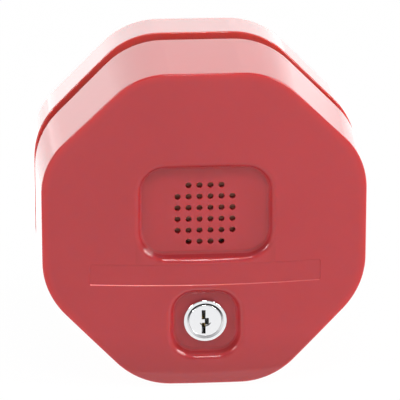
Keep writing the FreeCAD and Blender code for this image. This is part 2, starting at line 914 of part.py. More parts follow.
def terminal_block():
    """Terminal block with a screw well and a wire entry for each way."""
    half = terminal_ways * terminal_pitch / 2
    top = board_top - board_margin
    front = board_front + terminal_height
    body = block(terminal_x - half, terminal_x + half, board_front, front,
                 top - terminal_depth, top)
    body = body.makeChamfer(terminal_chamfer, [e for e in body.Edges if at_out(e, front)
                                              and e.BoundBox.ZMin > top - 0.01])
    cutters = []
    for x in terminal_places():
        cutters.append(rod(terminal_screw_diameter / 2 + 0.1, x, top - terminal_depth / 2,
                           front - terminal_well, front + 1))
        cutters.append(block(x - terminal_entry / 2, x + terminal_entry / 2,
                             board_front + terminal_floor,
                             board_front + terminal_floor + terminal_entry,
                             top - terminal_depth + terminal_back_wall, top + 1))
    return body.cut(cutters)


def terminal_screws():
    """Slotted screws in the terminal block."""
    back = board_front + terminal_height - terminal_well
    front = back + terminal_screw_height
    z = board_top - board_margin - terminal_depth / 2
    solids = []
    for x in terminal_places():
        head = rod(terminal_screw_diameter / 2, x, z, back, front)
        slot = block(x - terminal_screw_diameter, x + terminal_screw_diameter,
                     front - terminal_screw_height / 3, front + 1,
                     z - screw_slot / 3, z + screw_slot / 3)
        solids.append(head.cut(slot))
    return Part.makeCompound(solids)


def lead_connectors():
    """Three small two-way plugs on the board."""
    half = connector_size / 2
    z = board_top - connector_inset - half
    front = board_front + connector_height
    solids = []
    for x in connector_x:
        body = block(x - half, x + half, board_front, front, z - half, z + half)
        notch = block(x - half / 2, x + half / 2, front - connector_notch, front + 1,
                      z - half - 1, z - half + connector_notch / 2)
        solids.append(body.cut(notch))
    return Part.makeCompound(solids)


def boxed(centre, size, back, front, edge_round):
    """Box on the board with its upright edges rounded."""
    x, z = centre
    body = block(x - size[0] / 2, x + size[0] / 2, back, front, z - size[1] / 2, z + size[1] / 2)
    edges = [e for e in body.Edges if e.BoundBox.YLength > 1 or at_out(e, front)]
    return body.makeFillet(edge_round, edges)


def relay():
    """Sealed relay for the outside alarm circuit."""
    return boxed(relay_centre, relay_size, board_front, board_front + relay_height, 0.8)


def controller_chip():
    """Chip case with the notch that marks its first leg."""
    back = board_front + chip_stand
    body = boxed(chip_centre, chip_size, back, back + chip_height, 0.4)
    x, z = chip_centre
    return body.cut(rod(1.2, x - chip_size[0] / 2, z, back + chip_height / 2, depth))


def chip_legs():
    """Bent legs on both long sides of the chip."""
    x0, z0 = chip_centre
    height = chip_stand + chip_height / 2
    solids = []
    for number in range(chip_legs_a_side):
        x = x0 + (number - (chip_legs_a_side - 1) / 2) * chip_pitch
        for side in (-1, 1):
            inner = chip_size[1] / 2
            outer = inner + 0.6 + leg_thickness
            profile = [
                (inner, height - leg_thickness), (inner, height), (outer, height), (outer, 0),
                (outer - leg_thickness, 0), (outer - leg_thickness, height - leg_thickness),
            ]
            corners = [at(x - leg_width / 2, board_front + up, z0 + side * away)
                       for away, up in profile]
            face = Part.Face(Part.makePolygon(corners + corners[:1]))
            solids.append(face.extrude(RIGHT * leg_width))
    return Part.makeCompound(solids)


def dip_places():
    """Heights of the levers in the switch bank, from the top down."""
    middle = (dip_ways - 1) / 2
    return [dip_centre[1] + (middle - way) * dip_pitch for way in range(dip_ways)]


def dip_slot_half():
    """Half the length of a lever's slot."""
    return dip_travel / 2 + dip_lever_length / 2 + dip_gap


def dip_switch():
    """Case of the switch bank, with a slot for each lever."""
    x = dip_centre[0]
    front = board_front + dip_height
    size = (dip_width, dip_ways * dip_pitch + 1.5)
    body = boxed(dip_centre, size, board_front, front, 0.3)
    half = dip_slot_half()
    slots = []
    for z in dip_places():
        slots.append(block(x - half, x + half, front - dip_slot_depth, front + 1,
                           z - dip_lever_width / 2 - dip_gap, z + dip_lever_width / 2 + dip_gap))
    return body.cut(slots)


def dip_lever(z):
    """One slide of the switch bank, at the left end of its slot."""
    middle = dip_centre[0] - dip_travel / 2
    back = board_front + dip_height - dip_slot_depth + dip_gap
    lever = block(middle - dip_lever_length / 2, middle + dip_lever_length / 2, back,
                  back + dip_lever_height, z - dip_lever_width / 2, z + dip_lever_width / 2)
    return lever.makeChamfer(0.2, [e for e in lever.Edges if at_out(e, back + dip_lever_height)])


def coil_core():
    """Ferrite bobbin of the coil that drives the sounder."""
    back = board_front
    front = board_front + coil_height
    flange = coil_flange_diameter / 2
    core = coil_core_diameter / 2
    profile = [
        (0, back), (flange, back), (flange, back + coil_flange), (core, back + coil_flange),
        (core, front - coil_flange), (flange, front - coil_flange), (flange, front), (0, front),
    ]
    return lathe(profile, *coil_centre)


def coil_winding():
    """Copper wire on the bobbin, as one ring with a rounded outside."""
    back = board_front + coil_flange
    front = board_front + coil_height - coil_flange
    ring = rod(coil_winding_diameter / 2, *coil_centre, back, front)
    ring = ring.makeFillet(0.6, [e for e in ring.Edges if at_out(e, back) or at_out(e, front)])
    return ring.cut(rod(coil_core_diameter / 2, *coil_centre, back - 1, front + 1))


def capacitor(centre, diameter, height):
    """Upright electrolytic capacitor with a rolled groove near its foot."""
    radius = diameter / 2
    back = board_front
    front = board_front + height
    profile = [
        (0, back), (radius - 0.4, back), (radius, back + 0.4), (radius, back + 1.6),
        (radius - 0.4, back + 2.1), (radius, back + 2.6), (radius, front - 0.5),
        (radius - 0.5, front), (0, front),
    ]
    return lathe(profile, *centre)


def bent_wire(points, diameter):
    """Round wire along straight runs that are joined by tangent arcs."""
    corners = []
    for index in range(1, len(points) - 1):
        before = points[index] - points[index - 1]
        after = points[index + 1] - points[index]
        turn = before.getAngle(after)
        reach = 0.45 * min(before.Length, after.Length)
        radius = reach / math.tan(turn / 2)
        before.normalize()
        after.normalize()
        start = points[index] - before * reach
        end = points[index] + after * reach
        inward = after - before
        inward.normalize()
        depth_of_arc = radius / math.cos(turn / 2) - radius
        corners.append((start, points[index] + inward * depth_of_arc, end))
    edges = []
    place = points[0]
    for start, middle, end in corners:
        edges.append(Part.makeLine(place, start))
        edges.append(Part.Arc(start, middle, end).toShape())
        place = end
    edges.append(Part.makeLine(place, points[-1]))
    path = Part.Wire(edges)
    direction = points[1] - points[0]
    ring = Part.Wire(Part.makeCircle(diameter / 2, points[0], direction))
    return path.makePipeShell([ring], True, False)


def resistors():
    """Row of small resistors, each with its two bent leads."""
    x0, z0 = resistor_centre
    middle_out = board_front + 2.2
    half = resistor_span / 2
    solids = []
    for number in range(resistor_count):
        z = z0 - number * resistor_pitch
        body = Part.makeCylinder(resistor_diameter / 2, resistor_length,
                                 at(x0 - resistor_length / 2, middle_out, z), RIGHT)
        body = body.makeFillet(0.8, [e for e in body.Edges if e.BoundBox.XLength < 0.01])
        wire = bent_wire([at(x0 - half, board_front, z), at(x0 - half, middle_out, z),
                          at(x0 + half, middle_out, z), at(x0 + half, board_front, z)],
                         wire_diameter)
        solids.append(body.fuse(wire).removeSplitter())
    return Part.makeCompound(solids)


def reed_glass():
    """Glass tube of the switch that a magnet on the door frame works."""
    out = board_front + reed_height
    tube = Part.makeCylinder(reed_diameter / 2, reed_length,
                             at(reed_x, out, reed_z - reed_length / 2), UP)
    ends = [e for e in tube.Edges if e.BoundBox.ZLength < 0.01]
    tube = tube.makeFillet(reed_diameter / 2 - 0.35, ends)
    return tube


def reed_leads():
    """The two wires that carry the glass tube above the board."""
    out = board_front + reed_height
    solids = []
    for side in (-1, 1):
        near = reed_z + side * reed_length / 2
        far = reed_z + side * reed_span / 2
        solids.append(bent_wire([at(reed_x, out, near), at(reed_x, out, far),
                                 at(reed_x, board_front, far)], wire_diameter))
    return Part.makeCompound(solids)


def battery():
    """Nine volt battery lying on its side, with its two snap studs."""
    x0 = battery_left
    x1 = battery_right
    half = battery_width / 2
    body = block(x0, x1, battery_back, battery_back + battery_thickness,
                 battery_z - half, battery_z + half)
    body = body.makeFillet(battery_round, [e for e in body.Edges if e.BoundBox.XLength > 1])
    out = battery_back + battery_thickness / 2
    studs = []
    for side, diameter in ((-1, battery_stud_small), (1, battery_stud_large)):
        z = battery_z + side * battery_stud_pitch / 2
        studs.append(Part.makeCylinder(diameter / 2, battery_stud_height, at(x1, out, z), RIGHT))
    return body.fuse(studs).removeSplitter()


def battery_snap():
    """Snap connector on the battery's studs."""
    left = battery_right + battery_gap
    right = left + snap_thickness
    out = battery_back + battery_thickness / 2
    half = snap_width / 2
    cap = block(left, right, out - snap_depth / 2, out + snap_depth / 2,
                battery_z - half, battery_z + half)
    cap = cap.makeFillet(1.2, [e for e in cap.Edges if abs(e.BoundBox.XMin - right) < 0.01])
    sockets = []
    for side, diameter in ((-1, battery_stud_small), (1, battery_stud_large)):
        z = battery_z + side * battery_stud_pitch / 2
        sockets.append(Part.makeCylinder(diameter / 2 + 0.2, battery_stud_height + 0.4,
                                         at(left - 0.2, out, z), RIGHT))
    return cap.cut(sockets)


def connector_mouth(number, side):
    """Where a lead meets the top of a connector."""
    z = board_top - connector_inset
    return at(connector_x[number] + side * lead_pitch / 2, board_front + connector_height / 2, z)


def battery_lead(side):
    """Lead from the snap connector down to the board."""
    x = battery_right + battery_gap + snap_thickness / 2 + side * lead_pitch / 2
    out = battery_back + battery_thickness / 2
    low = battery_z - snap_width / 2
    mouth = connector_mouth(2, side)
    points = [mouth, mouth + at(0, 0, lead_rise), at(x, out, low - lead_rise), at(x, out, low)]
    return bent_wire(points, lead_diameter)


def sounder_lead(side):
    """Lead from the back of the sounder to the board."""
    mouth = connector_mouth(0, side)
    end = at(mouth.x - sounder_lead_shift, siren_back, grille_z - sounder_lead_drop)
    points = [
        mouth,
        mouth + at(0, 0, lead_rise),
        mouth + at(*sounder_lead_low),
        end + at(*sounder_lead_high),
        end - at(0, sounder_lead_end, 0),
        end,
    ]
    return bent_wire(points, lead_diameter)


def switch_lead(side):
    """Lead from a tab of the key switch to the board, over the top of the relay."""
    mouth = connector_mouth(1, side)
    end = at(side * lug_radius, switch_back - lug_length, lock_z)
    over = at(mouth.x, board_front + relay_height + lead_clearance, mouth.z)
    points = [
        mouth,
        mouth + at(0, 0, lead_rise),
        over + at(*switch_lead_first),
        over + at(*switch_lead_second),
        at((mouth.x + end.x) / 2 + 1.5, -over.y + 0.6, lock_z + switch_lead_middle),
        at(end.x + 0.8, -over.y, lock_z + switch_lead_bend),
        end - at(0, switch_lead_stub, 0),
        end,
    ]
    return bent_wire(points, lead_diameter)


def build():
    """Every piece, by the name of its file."""
    pieces = {
        "front_cover": front_cover(),
        "rear_housing": rear_housing(),
        "cover_screws": cover_screws(),
        "lock_barrel": lock_barrel(),
        "lock_plug": lock_plug(),
        "lock_washer": lock_washer(),
        "lock_nut": lock_nut(),
        "switch_rotor": switch_rotor(),
        "moving_contact": moving_contact(),
        "rotor_screw": rotor_screw(),
        "switch_body": switch_body(),
        "switch_lugs": switch_lugs(),
        "siren_gasket": siren_gasket(),
        "siren_housing": siren_housing(),
        "siren_cap": siren_cap(),
        "piezo_disc": piezo_disc(),
        "siren_screws": siren_screws(),
        "circuit_board": circuit_board(),
        "board_screws": board_screws(),
        "terminal_block": terminal_block(),
        "terminal_screws": terminal_screws(),
        "lead_connectors": lead_connectors(),
        "relay": relay(),
        "controller_chip": controller_chip(),
        "chip_legs": chip_legs(),
        "dip_switch": dip_switch(),
        "coil_core": coil_core(),
        "coil_winding": coil_winding(),
        "capacitor_large": capacitor(cap_large_centre, cap_large_diameter, cap_large_height),
        "capacitor_small": capacitor(cap_small_centre, cap_small_diameter, cap_small_height),
        "resistors": resistors(),
        "reed_glass": reed_glass(),
        "reed_leads": reed_leads(),
        "battery": battery(),
        "battery_snap": battery_snap(),
    }
    for number, z in enumerate(dip_places()):
        pieces["dip_lever_%d" % (number + 1)] = dip_lever(z)
    for name, maker in (("battery_lead", battery_lead), ("sounder_lead", sounder_lead),
                        ("switch_lead", switch_lead)):
        pieces[name + "_red"] = maker(1)
        pieces[name + "_black"] = maker(-1)
    return pieces


def main():
    """Write one STEP file for each piece."""
    os.makedirs("parts", exist_ok=True)
    for name, shape in build().items():
        shape.exportStep("parts/%s.step" % name)
        print(name, len(shape.Solids), "solids", round(shape.Volume, 1), "mm3")


main()
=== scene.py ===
# %% [markdown]
# # A red octagonal door alarm
# This notebook dresses a door alarm that a CAD model already holds: a glossy red cover with a
# curved front, a waisted box behind it, a chromed key switch and everything inside the case.
# The CAD pieces keep their shape and their place. Here they get their finishes, and the fine
# things that a drawing leaves out, such as solder, a dust cloth and the wafers in the lock.
# Lengths are metres, X runs right, Z runs up and the front faces -Y.

# %% Load the model
import json
import math

import bpy
import numpy as np
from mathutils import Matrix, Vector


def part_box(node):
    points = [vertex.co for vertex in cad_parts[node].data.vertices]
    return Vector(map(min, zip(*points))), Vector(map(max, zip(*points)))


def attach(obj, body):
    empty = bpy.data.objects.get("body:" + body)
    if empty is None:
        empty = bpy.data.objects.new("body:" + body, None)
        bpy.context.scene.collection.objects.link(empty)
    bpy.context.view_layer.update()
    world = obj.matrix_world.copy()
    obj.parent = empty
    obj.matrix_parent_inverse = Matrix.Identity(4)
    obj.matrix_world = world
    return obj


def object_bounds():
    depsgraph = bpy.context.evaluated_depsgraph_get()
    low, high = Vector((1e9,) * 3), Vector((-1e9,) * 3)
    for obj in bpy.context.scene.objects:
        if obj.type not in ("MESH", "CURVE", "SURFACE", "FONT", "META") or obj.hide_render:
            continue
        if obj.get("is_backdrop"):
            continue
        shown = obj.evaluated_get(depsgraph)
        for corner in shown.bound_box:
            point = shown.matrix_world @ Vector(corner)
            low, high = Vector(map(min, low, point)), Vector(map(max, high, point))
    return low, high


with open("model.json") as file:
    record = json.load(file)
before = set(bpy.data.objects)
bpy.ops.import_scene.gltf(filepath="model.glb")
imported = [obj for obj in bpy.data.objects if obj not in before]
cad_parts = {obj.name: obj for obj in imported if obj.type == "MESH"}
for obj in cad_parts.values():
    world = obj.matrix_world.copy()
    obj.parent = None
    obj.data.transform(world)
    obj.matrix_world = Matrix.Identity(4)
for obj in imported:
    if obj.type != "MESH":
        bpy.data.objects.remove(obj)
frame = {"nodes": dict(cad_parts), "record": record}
nodes = frame["nodes"]
cad_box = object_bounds()
mm = 0.001

# %% [markdown]
# ## The sizes that the later steps need
# Every place is read from the model, so that a new piece follows a changed drawing. The cover
# gives the crown of the front, the lock gives the axis of the key, and the box gives the floor.

# %% Measure the model
def node_box(name):
    """Lowest corner, highest corner and middle of a CAD piece, as arrays."""
    low, high = (np.array(corner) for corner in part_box(name))
    return low, high, (low + high) / 2


cover_low = node_box("front_cover")[0]
crown_y = cover_low[1]
floor_z = min(cover_low[2], node_box("rear_housing")[0][2])
lock_z = node_box("lock_barrel")[2][2]
plug_low, plug_high = node_box("lock_plug")[:2]
print("depth %.1f mm, lock axis at %.1f mm" % (-crown_y / mm, lock_z / mm))

# %% [markdown]
# ## The camera
# The photograph was taken with a long lens, from a little above and a little to the left, so the
# eight sides hardly converge. A camera could track an empty at the object, but two angles and
# a distance from one aim point are plainer to read. The lens shift, rather than a turned
# camera, puts the alarm as low in the frame as it is there without bending its outline.

# %% Place the camera
view_azimuth = math.radians(-4.24)
view_elevation = math.radians(18.4)
view_distance = 1.4
aim = np.array([0.0, -84.3 * mm, 0.0])
frame_pixels = 400.0
pixels_per_metre = 2395.4
aim_pixel = (205.77, 230.89)


def direction(azimuth, elevation):
    """Unit vector towards a place: azimuth 0 is in front, positive to the right, in radians."""
    level = math.cos(elevation)
    return np.array([math.sin(azimuth) * level, -math.cos(azimuth) * level,
                     math.sin(elevation)])


camera_data = bpy.data.cameras.new("camera")
camera = bpy.data.objects.new("camera", camera_data)
bpy.context.scene.collection.objects.link(camera)
bpy.context.scene.camera = camera
camera.location = aim + direction(view_azimuth, view_elevation) * view_distance
camera.rotation_euler = (math.pi / 2 - view_elevation, 0.0, view_azimuth)
camera_data.sensor_width = 36.0
camera_data.lens = camera_data.sensor_width * pixels_per_metre * view_distance / frame_pixels
camera_data.shift_x = (frame_pixels / 2 - aim_pixel[0]) / frame_pixels
camera_data.shift_y = (aim_pixel[1] - frame_pixels / 2) / frame_pixels
camera_data.clip_start = 0.05
print("lens %.0f mm at %.1f m" % (camera_data.lens, view_distance))

# %% [markdown]
# ## Shader building blocks
# A finish is a small tree of nodes. Written out by hand it is hard to read, so a short class
# adds nodes by type, sets their inputs by name and links an input when it is given a socket.
# Groups are made the same way, with named inputs and outputs, and used by many finishes.

# %% A tree that is easy to write
class Tree:
    """Adds nodes to the node tree of a material, a group or the world."""

    def __init__(self, tree):
        self.tree = tree

    def add(self, kind, settings=None, **inputs):
        """A node of this type. Underscores in a name are spaces, and i0 is input number 0."""
        node = self.tree.nodes.new("ShaderNode" + kind)
        for key, value in (settings or {}).items():
            setattr(node, key, value)
        for key, value in inputs.items():
            numbered = key[0] == "i" and key[1:].isdigit()
            socket = node.inputs[int(key[1:]) if numbered else key.replace("_", " ")]
            self.give(socket, value)
        return node

    def give(self, socket, value):
        """Set an input to a value, or link it to a socket."""
        if isinstance(value, bpy.types.NodeSocket):
            self.tree.links.new(value, socket)
        else:
            socket.default_value = value

    def math(self, operation, a, b=0.0):
        """One arithmetic step between two values or sockets."""
        return self.add("Math", {"operation": operation}, i0=a, i1=b).outputs[0]

    def ramp(self, value, low, high, start=0.0, end=1.0):
        """Start below low, end above high, and a straight slope between them."""
        node = self.add("MapRange", None, Value=value, From_Min=low, From_Max=high,
                        To_Min=start, To_Max=end)
        return node.outputs["Result"]

    def mix(self, factor, a, b):
        """Colour that runs from a to b as the factor goes from 0 to 1."""
        return self.add("Mix", {"data_type": "RGBA"}, i0=factor, i6=a, i7=b).outputs[2]

    def place(self):
        """Object coordinates, in metres, because every piece sits at the origin."""
        return self.add("TexCoord").outputs["Object"]

    def axes(self):
        """The same place as three sockets: X, Y and Z."""
        return self.add("SeparateXYZ", None, Vector=self.place()).outputs

    def product(self, first, *others):
        """All these values or sockets multiplied together."""
        for other in others:
            first = self.math("MULTIPLY", first, other)
        return first

    def within(self, coordinate, half_width):
        """1 where a coordinate lies nearer to zero than this, and 0 elsewhere."""
        return self.math("LESS_THAN", self.math("ABSOLUTE", coordinate), half_width)

    def group(self, group, **inputs):
        """Put a group in this tree with its own values, and give its outputs."""
        node = self.add("Group", {"node_tree": group}, **inputs)
        return node.outputs


def new_group(name, inputs, outputs):
    """A shader group with named number inputs, and outputs of the given kinds."""
    group = bpy.data.node_groups.new(name, "ShaderNodeTree")
    for label, start in inputs.items():
        socket = group.interface.new_socket(label, in_out="INPUT",
                                            socket_type="NodeSocketFloat")
        socket.default_value = start
    for label, kind in outputs.items():
        group.interface.new_socket(label, in_out="OUTPUT", socket_type="NodeSocket" + kind)
    tree = Tree(group)
    source = group.nodes.new("NodeGroupInput")
    target = group.nodes.new("NodeGroupOutput")
    return group, tree, source.outputs, target.inputs


def new_material(name, **values):
    """A material, its tree and its Principled BSDF, with plain values on the shader."""
    material = bpy.data.materials.new(name)
    material.use_nodes = True
    tree = Tree(material.node_tree)
    shader = material.node_tree.nodes["Principled BSDF"]
    for key, value in values.items():
        shader.inputs[key.replace("_", " ")].default_value = value
    return material, tree, shader.inputs


def reopen(material):
    """Tree, shader inputs and axes of a material that is to be changed in places."""
    tree = Tree(material.node_tree)
    return tree, material.node_tree.nodes["Principled BSDF"].inputs, tree.axes()


def plain(socket):
    """What a shader input is linked to so far."""
    return socket.links[0].from_socket


def srgb(red, green, blue):
    """Linear colour from the 0 to 255 values that a picture shows."""
    values = []
    for channel in (red, green, blue):
        part = channel / 255.0
        values.append(part / 12.92 if part <= 0.04045 else ((part + 0.055) / 1.055) ** 2.4)
    return (*values, 1.0)


# %% [markdown]
# ## Groups that several finishes share
# Moulded plastic is never dead flat. The skin has a faint ripple a few millimetres wide, left by
# the steel it froze against, and a much finer grain on top. One group gives both as a height,
# with a value that varies slowly for colour and gloss.

# %% Group: moulded skin
def make_moulded_skin():
    """Height and slow variation of a moulded surface: two noises, one wide and one fine."""
    group, tree, given, out = new_group(
        "moulded skin",
        {"Ripple size": 6.0, "Ripple": 1.0, "Grain size": 0.5, "Grain": 0.2},
        {"Height": "Float", "Variation": "Float"},
    )
    place = tree.place()
    ripple_scale = tree.math("DIVIDE", 1000.0, given["Ripple size"])
    grain_scale = tree.math("DIVIDE", 1000.0, given["Grain size"])
    ripple = tree.add("TexNoise", None, Vector=place, Scale=ripple_scale, Detail=1.0)
    grain = tree.add("TexNoise", None, Vector=place, Scale=grain_scale, Detail=2.0)
    slow = tree.add("TexNoise", None, Vector=place, Scale=22.0, Detail=2.0)
    height = tree.math(
        "ADD",
        tree.math("MULTIPLY", ripple.outputs[0], given["Ripple"]),
        tree.math("MULTIPLY", grain.outputs[0], given["Grain"]),
    )
    tree.give(out["Height"], height)
    tree.give(out["Variation"], tree.ramp(slow.outputs[0], 0.3, 0.7))
    return group


moulded_skin = make_moulded_skin()

# %% [markdown]
# Wiped plastic and handled metal both carry hairlines: short straight scratches that lie in
# many directions. Noise that is stretched along one axis and cut high gives them in one
# direction, and the group takes the strongest of three such directions.

# %% Group: hairlines
def make_hairlines():
    """Mask of thin straight marks in three directions."""
    group, tree, given, out = new_group("hairlines", {"Amount": 0.3}, {"Mask": "Float"})
    place = tree.place()
    marks = 0.0
    for turn in (0.4, 1.7, 2.6):
        mapping = tree.add("Mapping", None, Vector=place)
        mapping.inputs["Rotation"].default_value = (turn * 0.3, turn, turn * 0.7)
        mapping.inputs["Scale"].default_value = (90.0, 4200.0, 4200.0)
        noise = tree.add("TexNoise", None, Vector=mapping.outputs[0], Scale=1.0, Detail=1.0)
        marks = tree.math("MAXIMUM", tree.ramp(noise.outputs[0], 0.68, 0.74), marks)
    tree.give(out["Mask"], tree.math("MULTIPLY", marks, given["Amount"]))
    return group


hairlines = make_hairlines()

# %% [markdown]
# Bands round a piece, such as the colour code of a resistor or the stripe of a capacitor, need a
# mask along one axis. This group takes a coordinate, a middle and a width in millimetres.

# %% Group: band
def make_band():
    """1 inside a band of a coordinate and 0 outside, with a soft edge of 0.05 mm."""
    group, tree, given, out = new_group(
        "band", {"Coordinate": 0.0, "Middle": 0.0, "Width": 1.0}, {"Mask": "Float"}
    )
    away = tree.math("ABSOLUTE", tree.math(
        "SUBTRACT", tree.math("MULTIPLY", given["Coordinate"], 1000.0), given["Middle"]))
    past = tree.math("SUBTRACT", away, tree.math("MULTIPLY", given["Width"], 0.5))
    tree.give(out["Mask"], tree.ramp(past, -0.05, 0.05, 1.0, 0.0))
    return group


band = make_band()
print("groups:", ", ".join(group.name for group in bpy.data.node_groups))

# %% [markdown]
# ## Glossy red polycarbonate
# The case is moulded in coloured polycarbonate, not painted, so the colour goes right through
# it. Seen square on it is a deep red. Seen along a wall it goes pale pink, and that comes from
# gloss alone: a smooth surface mirrors more of its surroundings the flatter it is seen.
# So the shader starts from one red and a true refractive index, and leaves the rest to light.
# The plastic is slightly translucent too. Red light wanders a millimetre or two inside it and
# comes out near the edges, which is why they glow, so it has some subsurface scattering. The
# housing's plastic is a little lighter than the cover's, and light goes deeper into it.

# %% Finish: red polycarbonate
def red_polycarbonate(name, dark, light, coat, depth):
    """Red between two close tints, with this much clear coat, where light goes this deep."""
    material, tree, shader = new_material(
        name, IOR=1.49, Subsurface_Weight=1.0, Subsurface_Scale=depth,
        Subsurface_Radius=(1.0, 0.2, 0.1), Coat_Weight=coat, Coat_IOR=1.5,
        Coat_Roughness=0.08,
    )
    skin = tree.group(moulded_skin, Ripple_size=7.0, Ripple=1.0, Grain_size=0.6, Grain=0.08)
    marks = tree.group(hairlines, Amount=0.25)
    colour = tree.mix(skin["Variation"], dark, light)
    rough = tree.math("ADD", tree.ramp(skin["Variation"], 0.0, 1.0, 0.07, 0.11),
                      tree.math("MULTIPLY", marks["Mask"], 0.3))
    bump = tree.add("Bump", None, Strength=0.35, Distance=0.00003, Height=skin["Height"])
    tree.give(shader["Base Color"], colour)
    tree.give(shader["Roughness"], rough)
    tree.give(shader["Normal"], bump.outputs[0])
    return material


red_cover = red_polycarbonate("red polycarbonate cover", srgb(164, 47, 53), srgb(168, 50, 56),
                              0.0, 2 * mm)
red_housing = red_polycarbonate("red polycarbonate housing", srgb(184, 72, 66),
                                srgb(189, 76, 69), 0.5, 7 * mm)

# %% [markdown]
# ## Painted glow and painted shade in the cover's red
# Scattering alone is too weak for the glow along the rim of the face, so a painted glow makes
# the red a little brighter there and warmer on the walls behind. A painted shade makes it deeper
# at the foot of the face and on the lower walls of the two recesses. Painting these tones on a
# texture would need a UV map. A formula for the outline is shorter, and it fits the face
# wherever the camera stands.

# %% Finish: painted glow and painted shade on the cover
face_half_width = 68 * mm
outline_power = 19.0
rim_start, rim_full, rim_end = 0.95, 0.99, 0.998
rim_glow_faded_z, rim_glow_bright_z = -58 * mm, -34 * mm
foot_shade_start_z, foot_shade_deepest_z = -46 * mm, -66 * mm
recess_rim_y, recess_wall_y, recess_foot_y = -83.6 * mm, -82.6 * mm, -80.0 * mm
recess_half_width = 29.4 * mm
rim_glow_share, wall_glow_share, foot_shade_share, recess_shade_share = 0.7, 0.8, 0.5, 0.6
# Colours of the painted glow on the rim and the walls, and of the painted shade.
painted_rim_glow_red, painted_wall_glow_red, painted_shade_red = srgb(184, 47, 49), srgb(184, 56, 54), srgb(120, 36, 38)
# Where the painted shade on the lower wall of the sounder's and of the lock's recess starts, is
# deepest and ends.
lower_wall_shade_bands = [(-4 * mm, -9 * mm, -14 * mm), (-47 * mm, -52 * mm, -58 * mm)]


def outline_distance(tree, where):
    """How far out a place lies, from 0 in the middle to 1 on the outline of the face.

    An octagon with round corners is (|x|^p + |z|^p + |u|^p + |v|^p)^(1/p) = half its width,
    where u and v are x and z turned by 45 degrees and p is large.
    """
    x = tree.math("DIVIDE", where["X"], face_half_width)
    z = tree.math("DIVIDE", where["Z"], face_half_width)
    turned = [tree.product(tree.math(way, x, z), math.sqrt(0.5)) for way in ("ADD", "SUBTRACT")]
    total = 0.0
    for value in (x, z, *turned):
        power = tree.math("POWER", tree.math("ABSOLUTE", value), outline_power)
        total = tree.math("ADD", power, total)
    return tree.math("POWER", total, 1 / outline_power)


def paint_cover_glow_and_shade(material):
    """Painted glow on the rim and walls, painted shade at the foot of the face and on the lower
    recess walls.
    """
    tree, shader, where = reopen(material)
    out = outline_distance(tree, where)
    on_face = tree.math("LESS_THAN", out, rim_end)
    # Painted glow: a brighter red just inside the outline of the face.
    rim = tree.product(tree.ramp(out, rim_start, rim_full), on_face,
                       tree.ramp(where["Z"], rim_glow_faded_z, rim_glow_bright_z), rim_glow_share)
    # Painted shade: a deeper red towards the foot of the face.
    foot = tree.product(tree.ramp(where["Z"], foot_shade_start_z, foot_shade_deepest_z), on_face, foot_shade_share)
    # Painted shade on the lower walls of the two recesses.
    low = 0.0
    for start, deepest, end in lower_wall_shade_bands:
        wall = tree.product(tree.ramp(where["Z"], start, deepest),
                            tree.math("GREATER_THAN", where["Z"], end))
        low = tree.math("ADD", wall, low)
    recess = tree.product(tree.ramp(where["Y"], recess_rim_y, recess_wall_y),
                          tree.math("LESS_THAN", where["Y"], recess_foot_y),
                          tree.within(where["X"], recess_half_width), low, recess_shade_share)
    # Painted glow: a warmer red on the walls behind the face.
    wall_glow = tree.product(tree.math("GREATER_THAN", out, 1.0), wall_glow_share)
    colour = tree.mix(wall_glow, plain(shader["Base Color"]), painted_wall_glow_red)
    colour = tree.mix(rim, colour, painted_rim_glow_red)
    deeper = tree.math("MAXIMUM", recess, foot)
    tree.give(shader["Base Color"], tree.mix(deeper, colour, painted_shade_red))


paint_cover_glow_and_shade(red_cover)

# %% [markdown]
# ## A painted highlight and dull corners on the cover, two tones on the housing
# The lower edge of the label pocket shows as a pale line, stronger at the left. The step is too
# small to catch that much light by itself, so the line is a painted highlight in the colour. In
# the bottom corners of the recesses no polishing stone reaches the mould, so the plastic is dull
# there. On the housing, the box behind the waist is a little deeper in colour than the waist
# itself.

# %% Finish: painted highlight on the label edge, dull corners and the housing's two tones
label_half_width = 48.4 * mm
label_bottom = -23.85 * mm
recess_floor_y, crease_y = -79.98 * mm, -80.12 * mm
crease_full_y, crease_top_y = crease_y - 0.9 * mm, crease_y - 1.2 * mm
crease_reach_x, crease_reach_z, crease_rough = 31 * mm, 60 * mm, 0.75
waist_back_y = -24.5 * mm


def paint_label_edge_highlight(material):
    """Painted highlight: a pale line on the label pocket's lower edge, strong at the left, faint
    at the right.
    """
    tree, shader, where = reopen(material)
    line = tree.group(band, Coordinate=where["Z"], Middle=label_bottom / mm, Width=0.28)["Mask"]
    on_front = tree.math("LESS_THAN", where["Y"], float(crown_y + 8 * mm))
    highlight_fade = tree.ramp(where["X"], -label_half_width, label_half_width, 0.9, 0.3)
    mask = tree.product(line, highlight_fade, on_front, tree.within(where["X"], label_half_width))
    # The pale colour of the painted highlight.
    colour = tree.mix(mask, plain(shader["Base Color"]), srgb(240, 150, 150))
    tree.give(shader["Base Color"], colour)


def dull_crease(material):
    """Rougher plastic on the last millimetre of each recess wall, down to the floor."""
    tree, shader, where = reopen(material)
    rough = tree.product(tree.ramp(where["Y"], recess_floor_y, crease_y),
                         tree.ramp(where["Y"], crease_top_y, crease_full_y),
                         tree.within(where["X"], crease_reach_x),
                         tree.within(where["Z"], crease_reach_z), crease_rough)
    tree.give(shader["Roughness"], tree.math("MAXIMUM", plain(shader["Roughness"]), rough))


def tint_housing(material):
    """Deeper red on the box behind the waist, which starts where the housing is widest."""
    tree, shader, where = reopen(material)
    box = tree.ramp(where["Y"], waist_back_y - 0.5 * mm, waist_back_y + 0.5 * mm)
    colour = tree.mix(box, plain(shader["Base Color"]), srgb(168, 64, 61))
    tree.give(shader["Base Color"], colour)


paint_label_edge_highlight(red_cover)
dull_crease(red_cover)
tint_housing(red_housing)

